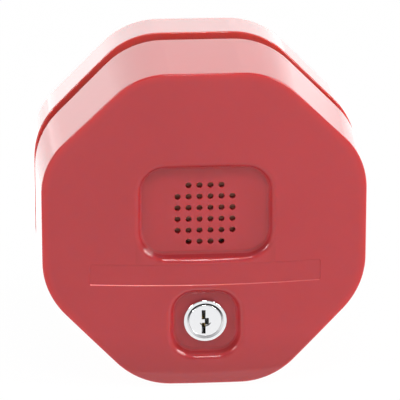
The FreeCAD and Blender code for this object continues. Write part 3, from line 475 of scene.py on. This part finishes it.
# %% [markdown]
# ## Metals
# The lock is a zinc casting with bright chrome on it. Chrome has no colour of its own and shows
# its surroundings, so the finish is a metal with a very low roughness and a few hairlines.
# Screws, nut and legs are zinc plated: duller, with a bluish and straw-coloured cloudiness.
# Brass contacts are stamped from sheet and carry the most marks. One function makes all three,
# because only the colours, the roughness and the strength of the marks differ.

# %% Finish: metals
def metal(name, dark, light, smooth, rough, marks, ripple):
    """Metal between two tints, with roughness from smooth to rough where it is marked."""
    material, tree, shader = new_material(name, Metallic=1.0)
    lines = tree.group(hairlines, Amount=marks)
    skin = tree.group(moulded_skin, Ripple_size=ripple, Ripple=1.0, Grain_size=0.25, Grain=0.1)
    tree.give(shader["Base Color"], tree.mix(skin["Variation"], dark, light))
    tree.give(shader["Roughness"], tree.ramp(lines["Mask"], 0.0, 1.0, smooth, rough))
    bump = tree.add("Bump", None, Strength=0.2, Distance=0.00001, Height=skin["Height"])
    tree.give(shader["Normal"], bump.outputs[0])
    return material


chrome = metal("bright chrome", (0.83, 0.84, 0.86, 1.0), (0.87, 0.87, 0.88, 1.0),
               0.05, 0.25, 0.5, 2.5)
zinc_plate = metal("zinc plate", (0.55, 0.58, 0.62, 1.0), (0.72, 0.7, 0.62, 1.0),
                   0.28, 0.5, 0.8, 1.5)
brass = metal("stamped brass", (0.62, 0.43, 0.16, 1.0), (0.76, 0.55, 0.24, 1.0),
              0.22, 0.45, 0.9, 2.0)

# %% [markdown]
# ## Painted shade in the lock
# The groove between the plug and the bezel is painted dull black as shade, mostly in its upper
# half. Under the keyway a small dark arc is painted shade on the lower rim of the dimple round
# it. Both are rings round the lock's axis, so a mask of the distance from it draws them.

# %% Finish: painted shade in the lock's groove
head_radius = float(plug_high[0] - plug_low[0]) / 2
head_y = float(plug_low[1])
groove_shade_steps = (-0.25 * mm, -0.05 * mm, 0.75 * mm)
groove_face_y, groove_deep_y = head_y + 0.1 * mm, head_y + 0.3 * mm
groove_end_y = head_y + 2.2 * mm
faint_below, full_above, faint_share = -1.5 * mm, 4.5 * mm, 0.12
dimple_shade_radius_mm, dimple_shade_width_mm = 2.35, 0.5


def paint_groove_shade(material):
    """Painted shade: a dull black ring deeper than the plug's face, and a dark arc low on the
    face.
    """
    tree, shader, where = reopen(material)
    up = tree.math("SUBTRACT", where["Z"], float(lock_z))
    radius = tree.math("SQRT", tree.math("ADD", tree.product(where["X"], where["X"]),
                                         tree.product(up, up)))
    start, full, end = (head_radius + step for step in groove_shade_steps)
    # Painted shade in the groove, strongest in its upper half.
    groove = tree.product(tree.ramp(radius, start, full), tree.math("LESS_THAN", radius, end),
                          tree.ramp(up, faint_below, full_above, faint_share, 1.0),
                          tree.ramp(where["Y"], groove_face_y, groove_deep_y),
                          tree.math("LESS_THAN", where["Y"], groove_end_y))
    # Painted shade on the lower rim of the dimple under the keyway.
    dimple_shade = tree.group(band, Coordinate=radius, Middle=dimple_shade_radius_mm,
                      Width=dimple_shade_width_mm)["Mask"]
    dimple_shade = tree.product(dimple_shade, tree.ramp(up, -1.2 * mm, -0.8 * mm, 0.8, 0.0))
    mask = tree.math("MAXIMUM", groove, dimple_shade)
    tree.give(shader["Base Color"],
              tree.mix(mask, plain(shader["Base Color"]), (0.012, 0.011, 0.011, 1.0)))
    tree.give(shader["Roughness"],
              tree.math("MAXIMUM", plain(shader["Roughness"]), tree.product(mask, 0.6)))


paint_groove_shade(chrome)

# %% [markdown]
# ## Plain mouldings
# Inside the case a dozen pieces are moulded in nylon, epoxy or vinyl. Each has its own colour,
# gloss and grain, but all are built alike: a base tint that drifts a little, a skin height for
# the bump and a roughness that follows the drift. A list of values is enough to tell them apart.

# %% Finish: plain mouldings
def moulding(name, colour, rough, grain_size, grain, drift=0.12):
    """Opaque moulded plastic: tint, mean roughness, grain size in mm and grain strength."""
    material, tree, shader = new_material(name)
    skin = tree.group(moulded_skin, Ripple_size=4.0, Ripple=0.5, Grain_size=grain_size,
                      Grain=grain)
    pale = tuple(min(1.0, part * (1 + drift) + 0.004) for part in colour[:3]) + (1.0,)
    dark = tuple(part * (1 - drift) for part in colour[:3]) + (1.0,)
    tree.give(shader["Base Color"], tree.mix(skin["Variation"], dark, pale))
    tree.give(shader["Roughness"], tree.ramp(skin["Variation"], 0.0, 1.0, rough - 0.05,
                                             rough + 0.05))
    bump = tree.add("Bump", None, Strength=0.5, Distance=0.00004, Height=skin["Height"])
    tree.give(shader["Normal"], bump.outputs[0])
    return material


black_nylon = moulding("black nylon", srgb(34, 31, 31), 0.5, 0.35, 0.8)
green_nylon = moulding("green nylon", srgb(46, 118, 68), 0.45, 0.4, 0.5)
white_nylon = moulding("white nylon", srgb(226, 221, 205), 0.4, 0.4, 0.4)
blue_relay = moulding("blue relay case", srgb(38, 72, 142), 0.35, 0.5, 0.4)
blue_dip = moulding("blue switch case", srgb(42, 84, 156), 0.4, 0.4, 0.4)
black_epoxy = moulding("black epoxy", srgb(36, 36, 38), 0.55, 0.2, 1.0)
grey_ferrite = moulding("sintered ferrite", srgb(62, 61, 62), 0.6, 0.25, 1.2)
black_vinyl = moulding("black vinyl", srgb(27, 27, 29), 0.38, 0.6, 0.3)
red_lead_vinyl = moulding("red lead vinyl", srgb(186, 32, 28), 0.35, 0.6, 0.3)
black_lead_vinyl = moulding("black lead vinyl", srgb(30, 30, 31), 0.35, 0.6, 0.3)
brown_screen = moulding("brown dust screen", srgb(205, 150, 130), 0.8, 0.3, 1.0, 0.2)

# %% [markdown]
# ## Closed-cell foam
# The gasket is punched from foam sheet. Its cut faces show the walls of thousands of tiny
# cells, which a Voronoi pattern draws: the distance to the nearest cell centre is the height.

# %% Finish: foam
def closed_cell_foam():
    """Near black foam whose cells are dents, darkest in their middles."""
    material, tree, shader = new_material("closed cell foam")
    cells = tree.add("TexVoronoi", None, Vector=tree.place(), Scale=1800.0)
    depth = tree.ramp(cells.outputs["Distance"], 0.0, 0.8)
    tree.give(shader["Base Color"], tree.mix(depth, srgb(22, 22, 23), srgb(58, 57, 57)))
    tree.give(shader["Roughness"], tree.ramp(depth, 0.0, 1.0, 0.95, 0.8))
    bump = tree.add("Bump", None, Strength=0.9, Distance=0.0002, Height=depth)
    tree.give(shader["Normal"], bump.outputs[0])
    return material


foam = closed_cell_foam()

# %% [markdown]
# ## Circuit board
# Solder mask is a thin green lacquer. Over copper tracks it looks lighter, over bare laminate
# darker, and the sawn edge of the board shows the laminate itself. The tracks follow a grid of
# a tenth of an inch: each cell of the grid asks a random number whether a track crosses it.

# %% Finish: solder mask
def solder_mask():
    """Green lacquer on both faces, lighter and raised over copper, with bare sawn edges."""
    board_low, board_high, board_middle = node_box("circuit_board")
    material, tree, shader = new_material("green solder mask", IOR=1.5)
    where = tree.axes()
    grid = 2.54 * mm
    across = tree.math("DIVIDE", where["X"], grid)
    upward = tree.math("DIVIDE", where["Z"], grid)

    def tracks(along, beside, length, share, width):
        """Tracks that run one way: full cells of this length, on this share of the lines."""
        line = tree.math("FLOOR", beside)
        step = tree.math("FLOOR", tree.math("DIVIDE", along, length))
        cell = tree.add("CombineXYZ", None, X=line, Y=step, Z=length)
        chance = tree.add("TexWhiteNoise", None, Vector=cell.outputs[0]).outputs["Value"]
        off = tree.math("ABSOLUTE", tree.math("SUBTRACT", tree.math("FRACT", beside), 0.5))
        inside = tree.ramp(off, width, width + 0.04, 1.0, 0.0)
        return tree.math("MULTIPLY", inside, tree.math("LESS_THAN", chance, share))

    copper_mask = tree.math("MAXIMUM", tracks(upward, across, 6.0, 0.5, 0.12),
                            tracks(across, upward, 5.0, 0.35, 0.2))
    face = (board_high[1] - board_low[1]) / 2 - 0.05 * mm
    depth = tree.math("ABSOLUTE", tree.math("SUBTRACT", where["Y"], float(board_middle[1])))
    edge = tree.math("LESS_THAN", depth, float(face))
    mask = tree.mix(copper_mask, srgb(12, 74, 42), srgb(30, 112, 62))
    tree.give(shader["Base Color"], tree.mix(edge, mask, srgb(176, 168, 108)))
    tree.give(shader["Roughness"], tree.ramp(edge, 0.0, 1.0, 0.28, 0.75))
    bump = tree.add("Bump", None, Strength=0.6, Distance=0.00005, Height=copper_mask)
    tree.give(shader["Normal"], bump.outputs[0])
    return material


board = solder_mask()

# %% [markdown]
# ## Pieces with more than one material in them
# A capacitor is a sleeve with a pale stripe and an aluminium top, a resistor is lacquer with
# coloured rings between two tinned wires, and the battery is a painted can with a steel rim
# and studs. Each is one solid in the model, so its finish reads the place on the piece and
# switches colour, gloss and metal there.

# %% Finish: mixed pieces
def two_parts(material, tree, shader, other, first, second, gloss, metal_rough=0.3):
    """Colour first with this gloss, or second as bare metal where the mask other is 1."""
    tree.give(shader["Base Color"], tree.mix(other, first, second))
    tree.give(shader["Metallic"], other)
    tree.give(shader["Roughness"], tree.ramp(other, 0.0, 1.0, gloss, metal_rough))
    skin = tree.group(moulded_skin, Ripple_size=3.0, Ripple=0.6, Grain_size=0.4, Grain=0.4)
    bump = tree.add("Bump", None, Strength=0.4, Distance=0.00003, Height=skin["Height"])
    tree.give(shader["Normal"], bump.outputs[0])
    return material


def capacitor_sleeve():
    """Dark sleeve with a pale stripe at the side and bare aluminium on top."""
    stripe_half_angle, top_depth = 0.42, 0.4 * mm
    large_rim, small_rim = 3.9 * mm, 2.2 * mm
    large_low, large_high, large = node_box("capacitor_large")
    small_low, small = node_box("capacitor_small")[::2]
    material, tree, shader = new_material("capacitor sleeve")
    where = tree.axes()
    is_small = tree.math("GREATER_THAN", where["X"], float(large_high[0] + 0.4 * mm))

    def either(of_large, of_small):
        """The value of the capacitor that a place lies on."""
        return tree.ramp(is_small, 0.0, 1.0, float(of_large), float(of_small))

    from_x = tree.math("SUBTRACT", where["X"], either(large[0], small[0]))
    from_z = tree.math("SUBTRACT", where["Z"], either(large[2], small[2]))
    angle = tree.math("ABSOLUTE", tree.math("ARCTAN2", from_x, from_z))
    stripe = tree.math("LESS_THAN", angle, stripe_half_angle)
    radius = tree.math("SQRT", tree.math("ADD", tree.product(from_x, from_x),
                                         tree.product(from_z, from_z)))
    top_y = tree.math("ADD", either(large_low[1], small_low[1]), top_depth)
    top = tree.product(tree.math("LESS_THAN", radius, either(large_rim, small_rim)),
                       tree.math("LESS_THAN", where["Y"], top_y))
    sleeve = tree.mix(stripe, srgb(26, 27, 40), srgb(150, 152, 160))
    return two_parts(material, tree, shader, top, sleeve, (0.7, 0.7, 0.72, 1.0), 0.3)


def resistor_coat():
    """Beige lacquer with four rings, between tinned wires."""
    middle = node_box("resistors")[2]
    coat_half_length = 3.27 * mm
    material, tree, shader = new_material("resistor lacquer")
    along = tree.math("SUBTRACT", tree.axes()["X"], float(middle[0]))
    colour = srgb(206, 184, 140)
    rings = {-2.1: srgb(120, 72, 30), -1.0: srgb(24, 22, 22), 0.1: srgb(190, 60, 34),
             2.0: srgb(176, 138, 52)}
    for place, ring in rings.items():
        mask = tree.group(band, Coordinate=along, Middle=place, Width=0.6)["Mask"]
        colour = tree.mix(mask, colour, ring)
    wire = tree.math("GREATER_THAN", tree.math("ABSOLUTE", along), coat_half_length)
    return two_parts(material, tree, shader, wire, colour, (0.72, 0.72, 0.7, 1.0), 0.35)


def battery_can():
    """Can painted in two greys, with a bare rim and studs at its terminal end."""
    high = node_box("battery")[1]
    stud_height, rim_width, pale_length, seam = 2.8 * mm, 1.4 * mm, 30.0 * mm, 0.1 * mm
    material, tree, shader = new_material("battery can")
    along = tree.axes()["X"]
    face = float(high[0]) - stud_height
    bare = tree.math("GREATER_THAN", along, face - rim_width)
    pale = tree.ramp(along, face - pale_length - seam, face - pale_length)
    paint = tree.mix(pale, srgb(58, 60, 66), srgb(128, 130, 134))
    return two_parts(material, tree, shader, bare, paint, (0.68, 0.69, 0.7, 1.0), 0.3, 0.22)


def coated_disc():
    """Brass with a pale ceramic disc on its back."""
    back_y = float(node_box("piezo_disc")[1][1])
    coat = 0.25 * mm
    material, tree, shader = new_material("sounder disc")
    ceramic = tree.math("GREATER_THAN", tree.axes()["Y"], back_y - coat)
    bare = tree.math("SUBTRACT", 1.0, ceramic)
    return two_parts(material, tree, shader, bare, srgb(214, 210, 196),
                     (0.72, 0.52, 0.22, 1.0), 0.45, 0.28)


def wound_copper():
    """Varnished copper wire: rings round the coil's axis, a wire's width apart."""
    material, tree, shader = new_material("varnished copper", Coat_Weight=0.6, Metallic=1.0)
    turn = tree.math("SINE", tree.product(tree.axes()["Y"], math.pi / wire_radius))
    skin = tree.group(moulded_skin, Ripple_size=2.0, Ripple=0.8, Grain_size=0.3, Grain=0.3)
    tree.give(shader["Base Color"], tree.mix(skin["Variation"], (0.55, 0.2, 0.08, 1.0),
                                             (0.7, 0.3, 0.14, 1.0)))
    tree.give(shader["Roughness"], tree.ramp(turn, -1.0, 1.0, 0.4, 0.22))
    bump = tree.add("Bump", None, Strength=0.5, Distance=0.0001, Height=turn)
    tree.give(shader["Normal"], bump.outputs[0])
    return material


def reed_tube_glass():
    """Clear greenish glass with a few hairlines."""
    material, tree, shader = new_material("reed glass", IOR=1.5, Transmission_Weight=1.0)
    marks = tree.group(hairlines, Amount=0.4)
    skin = tree.group(moulded_skin, Ripple_size=3.0, Ripple=1.0, Grain_size=0.5, Grain=0.0)
    tree.give(shader["Base Color"], tree.mix(skin["Variation"], (0.8, 0.92, 0.85, 1.0),
                                             (0.88, 0.96, 0.92, 1.0)))
    tree.give(shader["Roughness"], tree.math("ADD", marks["Mask"], 0.02))
    return material


wire_radius = 0.26 * mm
capacitor_finish = capacitor_sleeve()
resistor_finish = resistor_coat()
battery_finish = battery_can()
disc_finish = coated_disc()
copper = wound_copper()
glass = reed_tube_glass()

# %% [markdown]
# ## The right finish on every piece
# The record of the model names a material slot for each piece. A table from slot to finish
# covers them all, and only the sounder disc is told apart, because it is brass and ceramic.

# %% Give every CAD piece its finish
finish_of_slot = {
    "red_plastic": red_cover,
    "chrome": chrome,
    "plated_steel": zinc_plate,
    "black_plastic": black_nylon,
    "brass": brass,
    "foam": foam,
    "board": board,
    "terminal_plastic": green_nylon,
    "connector_plastic": white_nylon,
    "relay_case": blue_relay,
    "chip_case": black_epoxy,
    "dip_case": blue_dip,
    "ferrite": grey_ferrite,
    "copper": copper,
    "capacitor_sleeve": capacitor_finish,
    "resistor_coat": resistor_finish,
    "reed_tube": glass,
    "battery_case": battery_finish,
    "snap_cap": black_vinyl,
    "lead_red": red_lead_vinyl,
    "lead_black": black_lead_vinyl,
}
finish_of_node = {"piezo_disc": disc_finish, "rear_housing": red_housing}
slot_of = {part["node"]: part["material_slot"] for part in frame["record"]["subparts"]}
for name, node in nodes.items():
    finish = finish_of_node.get(name, finish_of_slot[slot_of[name]])
    node.data.materials.clear()
    node.data.materials.append(finish)
finishes = {node.data.materials[0].name for node in nodes.values()}
print(len(nodes), "pieces share", len(finishes), "finishes")

# %% [markdown]
# ## Surfaces from arrays
# Each new piece is a closed skin of points that numpy works out at once. A piece is built from
# rings: an array of shape (rings, points in a ring, 3). Neighbouring rings are joined by four
# sided faces, the last point of a ring joins the first, and each end is closed by a fan about
# the middle of its ring. The sum of the signed volumes under the faces tells whether the skin
# faces outwards, and if it does not, every face is turned over.

# %% Surface helpers
def ring_shell(rings):
    """Points and triangles or quads of a closed tube: rings joined in order, ends fanned."""
    count, around = rings.shape[:2]
    ring, step = np.meshgrid(np.arange(count - 1), np.arange(around), indexing="ij")
    after = (step + 1) % around
    quads = np.stack([ring * around + step, ring * around + after,
                      (ring + 1) * around + after, (ring + 1) * around + step], axis=-1)
    ends = np.stack([rings[0].mean(axis=0), rings[-1].mean(axis=0)])
    points = np.concatenate([rings.reshape(-1, 3), ends])
    step = np.arange(around)
    after = (step + 1) % around
    first, last = count * around, (count - 1) * around
    fans = np.concatenate([
        np.stack([after, step, np.full(around, first)], axis=-1),
        np.stack([last + step, last + after, np.full(around, first + 1)], axis=-1),
    ])
    quads = quads.reshape(-1, 4)
    a, b, c, d = (points[quads[:, k]] for k in range(4))
    e, f, g = (points[fans[:, k]] for k in range(3))
    volume = (np.einsum("ij,ij", a, np.cross(b, c)) + np.einsum("ij,ij", a, np.cross(c, d))
              + np.einsum("ij,ij", e, np.cross(f, g)))
    if volume < 0:
        quads, fans = quads[:, ::-1], fans[:, ::-1]
    return points, quads, fans


def make_piece(name, shells, material, body):
    """One smooth object from several closed shells, which moves with a CAD body."""
    starts = np.cumsum([0] + [len(points) for points, quads, fans in shells])
    faces = []
    for start, (points, quads, fans) in zip(starts, shells):
        faces += (quads + start).tolist() + (fans + start).tolist()
    mesh = bpy.data.meshes.new(name)
    mesh.from_pydata(np.concatenate([shell[0] for shell in shells]).tolist(), [], faces)
    mesh.shade_smooth()
    mesh.materials.append(material)
    piece = bpy.data.objects.new(name, mesh)
    bpy.context.scene.collection.objects.link(piece)
    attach(piece, body)
    print(name, "has", len(mesh.vertices), "points and", len(faces), "faces")


# %% [markdown]
# ## Dust screen behind the sound holes
# In the photograph the holes are one even brown, not black, so something lies close behind
# them: a thin screen that keeps dust out of the sounder. It is woven, so its height over the
# disc is a product of two sines, and it bulges up and down by a tenth of a millimetre.

# %% New piece: dust screen
def dust_screen():
    """Disc in the XZ plane, its front at y + a sin(pi x / p) sin(pi z / p), its back flat."""
    low, high, middle = node_box("siren_gasket")
    radius = (high[0] - low[0]) / 2 - 3.2 * mm
    front_y, thickness, relief, weave = low[1] + 0.3 * mm, 0.4 * mm, 0.08 * mm, 0.9 * mm
    fraction = np.linspace(0.02, 1.0, 70)[:, None]
    angle = np.linspace(0.0, 2 * math.pi, 200, endpoint=False)[None, :]
    x = middle[0] + radius * fraction * np.cos(angle)
    z = middle[2] + radius * fraction * np.sin(angle)
    woven = np.sin(math.pi * x / weave) * np.sin(math.pi * z / weave) * relief
    front = np.stack([x, front_y + woven, z], axis=-1)
    back = np.stack([x, np.full_like(x, front_y + thickness), z], axis=-1)
    return ring_shell(np.concatenate([front, back[::-6]]))


make_piece("dust_screen", [dust_screen()], brown_screen, "alarm")

# %% [markdown]
# ## Wafers in the keyway
# Behind the mouth of a keyway stand small brass wafers, each sprung and each cut to another
# height, which the key lines up. They are flat plates with round ends, alternately from the top
# and from the bottom of the slot, and they turn with the plug.

# %% New piece: wafers
def wafer(middle_x, middle_z, half_width, half_height, front_y, thickness):
    """Plate whose outline is |x / a|^4 + |z / b|^4 = 1, with its two rims bevelled."""
    angle = np.linspace(0.0, 2 * math.pi, 40, endpoint=False)
    cosine, sine = np.cos(angle), np.sin(angle)
    outline_x = half_width * np.sign(cosine) * np.sqrt(np.abs(cosine))
    outline_z = half_height * np.sign(sine) * np.sqrt(np.abs(sine))
    bevel = 0.12 * thickness
    depth = np.array([0.0, bevel, thickness - bevel, thickness])[:, None]
    scale = np.array([0.85, 1.0, 1.0, 0.85])[:, None]
    x = middle_x + scale * outline_x
    z = middle_z + scale * outline_z
    return ring_shell(np.stack([x, np.broadcast_to(front_y + depth, x.shape), z], axis=-1))


slot_x = -0.7 * mm
slot_half = 0.85 * mm
slot_top, slot_bottom = 4.73 * mm, -5.74 * mm
wafer_pitch, wafer_thickness, wafer_first = 1.4 * mm, 0.9 * mm, 11.8 * mm
wafer_heights = np.array([1.5, 2.1, 1.2, 2.4, 1.8]) * mm
wafers = []
for number, height in enumerate(wafer_heights):
    top = number % 2 == 0
    wafer_z = slot_top + 0.1 * mm - height / 2 if top else slot_bottom - 0.1 * mm + height / 2
    wafers.append(wafer(slot_x, lock_z + wafer_z, slot_half, height / 2,
                        plug_low[1] + wafer_first + number * wafer_pitch, wafer_thickness))
make_piece("keyway_wafers", wafers, brass, "lock_core")

# %% [markdown]
# ## Turns of wire on the coil
# The coil is one long wire. Its path is a helix round the bobbin, and a small circle is carried
# along the path. The wires lie side by side, so the pitch is the wire's width.

# %% New piece: coil turns
def helix_wire():
    """Circle of radius w carried along x = R cos t, z = R sin t, y = y0 + p t / 2 pi."""
    low, high, middle = node_box("coil_winding")
    radius = (high[0] - low[0]) / 2
    start, stop = low[1] + 0.7 * mm, high[1] - 0.7 * mm
    turns = int((stop - start) / (2 * wire_radius))
    angle = np.linspace(0.0, 2 * math.pi * turns, turns * 40)[:, None]
    section = np.linspace(0.0, 2 * math.pi, 8, endpoint=False)[None, :]
    out = radius + wire_radius * np.cos(section)
    y = start + (stop - start) * angle / (2 * math.pi * turns) + wire_radius * np.sin(section)
    return ring_shell(np.stack([middle[0] + out * np.cos(angle), y,
                                middle[2] + out * np.sin(angle)], axis=-1))


make_piece("coil_turns", [helix_wire()], copper, "alarm")

# %% [markdown]
# ## Solder joints
# Each leg comes through the board and is soldered on the back. Molten solder climbs the pin, so
# a joint is a hollow-sided cone: its radius falls quickly at first and slowly near the tip.

# %% New piece: solder joints
def solder_joint(x, z, foot_y):
    """Turned form whose radius is r0 + (r1 - r0) (1 - h)^2.4 for heights h from 0 to 1."""
    height, foot, tip = 1.1 * mm, 0.95 * mm, 0.3 * mm
    h = np.append(np.linspace(0.0, 1.0, 9), 1.06)[:, None]
    angle = np.linspace(0.0, 2 * math.pi, 16, endpoint=False)[None, :]
    radius = tip + (foot - tip) * (1 - np.minimum(h, 1.0)) ** 2.4
    radius = np.where(h > 1.0, tip * 0.5, radius)
    y = foot_y + height * h + 0 * angle
    return ring_shell(np.stack([x + radius * np.cos(angle), y, z + radius * np.sin(angle)],
                               axis=-1))


board_back_y = node_box("circuit_board")[1][1] - 0.05 * mm
pin_pitch = 2.54 * mm
legs_low, legs_high, legs_middle = node_box("chip_legs")
leg_row = (legs_high[2] - legs_low[2]) / 2 - 0.15 * mm
joints = [solder_joint(legs_middle[0] + (k - 4) * pin_pitch, legs_middle[2] + side * leg_row,
                       board_back_y) for k in range(9) for side in (-1, 1)]
block_middle = node_box("terminal_block")[2]
joints += [solder_joint(block_middle[0] + (k - 2.5) * 2 * pin_pitch, block_middle[2],
                        board_back_y) for k in range(6)]
for name in ("capacitor_large", "capacitor_small"):
    middle = node_box(name)[2]
    joints += [solder_joint(middle[0], middle[2] + side * pin_pitch / 2, board_back_y)
               for side in (-1, 1)]
make_piece("solder_joints", joints, zinc_plate, "alarm")

# %% [markdown]
# ## Floor and background
# The photograph is a cut-out on white. A white floor that runs to the horizon gives that, and it
# still takes a soft shadow. To the camera and to mirrors it is mostly plain white, so the
# shadow stays faint, and the metal shows the same white.

# %% Stage
def white_floor():
    """Large square floor at the lowest point of the alarm."""
    half = 6.0
    corners = [(-half, -half, floor_z), (half, -half, floor_z), (half, half, floor_z),
               (-half, half, floor_z)]
    mesh = bpy.data.meshes.new("floor")
    mesh.from_pydata(corners, [], [(0, 1, 2, 3)])
    floor = bpy.data.objects.new("floor", mesh)
    bpy.context.scene.collection.objects.link(floor)
    material, tree, shader = new_material("white floor", Base_Color=(0.95, 0.95, 0.95, 1.0),
                                          Roughness=0.9, Specular_IOR_Level=0.0)
    path = tree.add("LightPath").outputs
    mirrored = tree.math("MAXIMUM", path["Is Glossy Ray"], path["Is Transmission Ray"])
    share = tree.math("MAXIMUM", tree.ramp(path["Is Camera Ray"], 0.0, 1.0, 0.3, 0.98),
                      mirrored)
    white = tree.add("Emission", None, Color=(1.0, 1.0, 1.0, 1.0), Strength=1.0)
    lit = tree.tree.nodes["Principled BSDF"]
    both = tree.add("MixShader", None, i0=share,
                    i1=lit.outputs[0], i2=white.outputs[0])
    tree.give(tree.tree.nodes["Material Output"].inputs["Surface"], both.outputs[0])
    mesh.materials.append(material)
    return floor


white_floor()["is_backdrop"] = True

# %% [markdown]
# ## Light
# The original was lit as such products are, between white screens with a few lamps outside.
# The pale walls of the case are mirror images of what stands behind it, so two kinds of panel
# make them: light tables on the floor, which the left walls mirror, and upright screens at the
# back, which the top walls mirror. The screens get weaker in steps to the right, because the
# photograph's upper right wall is the duller one. Panels don't overlap, because a mirrored ray
# counts only one of two that lie in the same plane. Four narrow lamps in front, overhead, left
# and right give the thin streaks along the rounded lips of the recesses.

# %% Lamps
def panel(name, azimuth, elevation, distance, width, height, radiance):
    """Soft light in a direction from the object and turned to face it, in degrees."""
    data = bpy.data.lights.new(name, "AREA")
    data.shape = "RECTANGLE"
    data.size = width
    data.size_y = height
    data.energy = radiance * width * height * math.pi
    lamp = bpy.data.objects.new(name, data)
    bpy.context.scene.collection.objects.link(lamp)
    turn, rise = math.radians(azimuth), math.radians(elevation)
    lamp.location = np.array([0.0, -40 * mm, 0.0]) + direction(turn, rise) * distance
    lamp.rotation_euler = (math.pi / 2 - rise, 0.0, turn)
    lamp.visible_camera = False
    return lamp


# Each lamp in front: name, azimuth, elevation, distance, width, height and radiance.
front_lamps = [("overhead box", 0.0, 58.0, 1.3, 0.32, 0.24, 20.0),
               ("right strip", 48.0, 33.0, 1.5, 0.11, 0.7, 28.0),
               ("right side strip", 72.0, 37.0, 1.5, 0.16, 0.8, 26.0),
               ("left strip", -58.0, 31.0, 1.5, 0.14, 0.6, 28.0)]
for front_lamp in front_lamps:
    panel(*front_lamp)
# Each light table: left, right, near and far edge in metres, and radiance.
light_tables = [(-1.3, 1.3, -0.1, 1.0, 0.52), (-1.3, 0.0, 1.0, 1.46, 0.72),
                (0.0, 1.3, 1.0, 1.46, 0.3)]
for left, right, near, far, radiance in light_tables:
    table = panel("light table", 0.0, -90.0, 0.0, right - left, far - near, radiance)
    table.location = ((left + right) / 2, (near + far) / 2, floor_z + 0.001)
# Each back screen: left and right edge in metres, and radiance.
back_screens = [(-1.7, 0.24, 1.18), (0.24, 0.32, 1.1), (0.32, 0.4, 1.0), (0.4, 0.48, 0.88),
                (0.48, 1.7, 0.76)]
for left, right, radiance in back_screens:
    screen = panel("back screen", 180.0, 0.0, 1.5, right - left, 1.1, radiance)
    screen.location.x = (left + right) / 2
    screen.location.z = floor_z + 0.56
print(len(front_lamps) + len(light_tables) + len(back_screens), "lamps")

# %% [markdown]
# ## World
# The world stands for the room. It is white at the horizon and darker overhead, so the front
# takes more light than the upper sides, as in the photograph. To the camera it is plain white.

# %% World
world = bpy.data.worlds.new("white screens")
bpy.context.scene.world = world
world.use_nodes = True
world_tree = Tree(world.node_tree)
seen = world_tree.add("LightPath").outputs["Is Camera Ray"]
upward = world_tree.add("SeparateXYZ", None,
                        Vector=world_tree.add("TexCoord").outputs["Generated"]).outputs["Z"]
screens = world_tree.ramp(upward, 0.0, 0.75, 0.86, 0.2)
background = world.node_tree.nodes["Background"].inputs
background["Color"].default_value = (1.0, 1.0, 1.0, 1.0)
world_tree.give(background["Strength"], world_tree.math("MAXIMUM", screens, seen))
bpy.context.scene.view_settings.view_transform = "Standard"

# %% [markdown]
# ## Sizes
# Both boxes are printed, so that it is easy to see that no new piece makes the alarm larger.

# %% Sizes
visual_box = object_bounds()
for label, (lowest, highest) in (("CAD", cad_box), ("dressed", visual_box)):
    print(label, "model: %.1f x %.1f x %.1f mm" % tuple((highest - lowest) / mm))
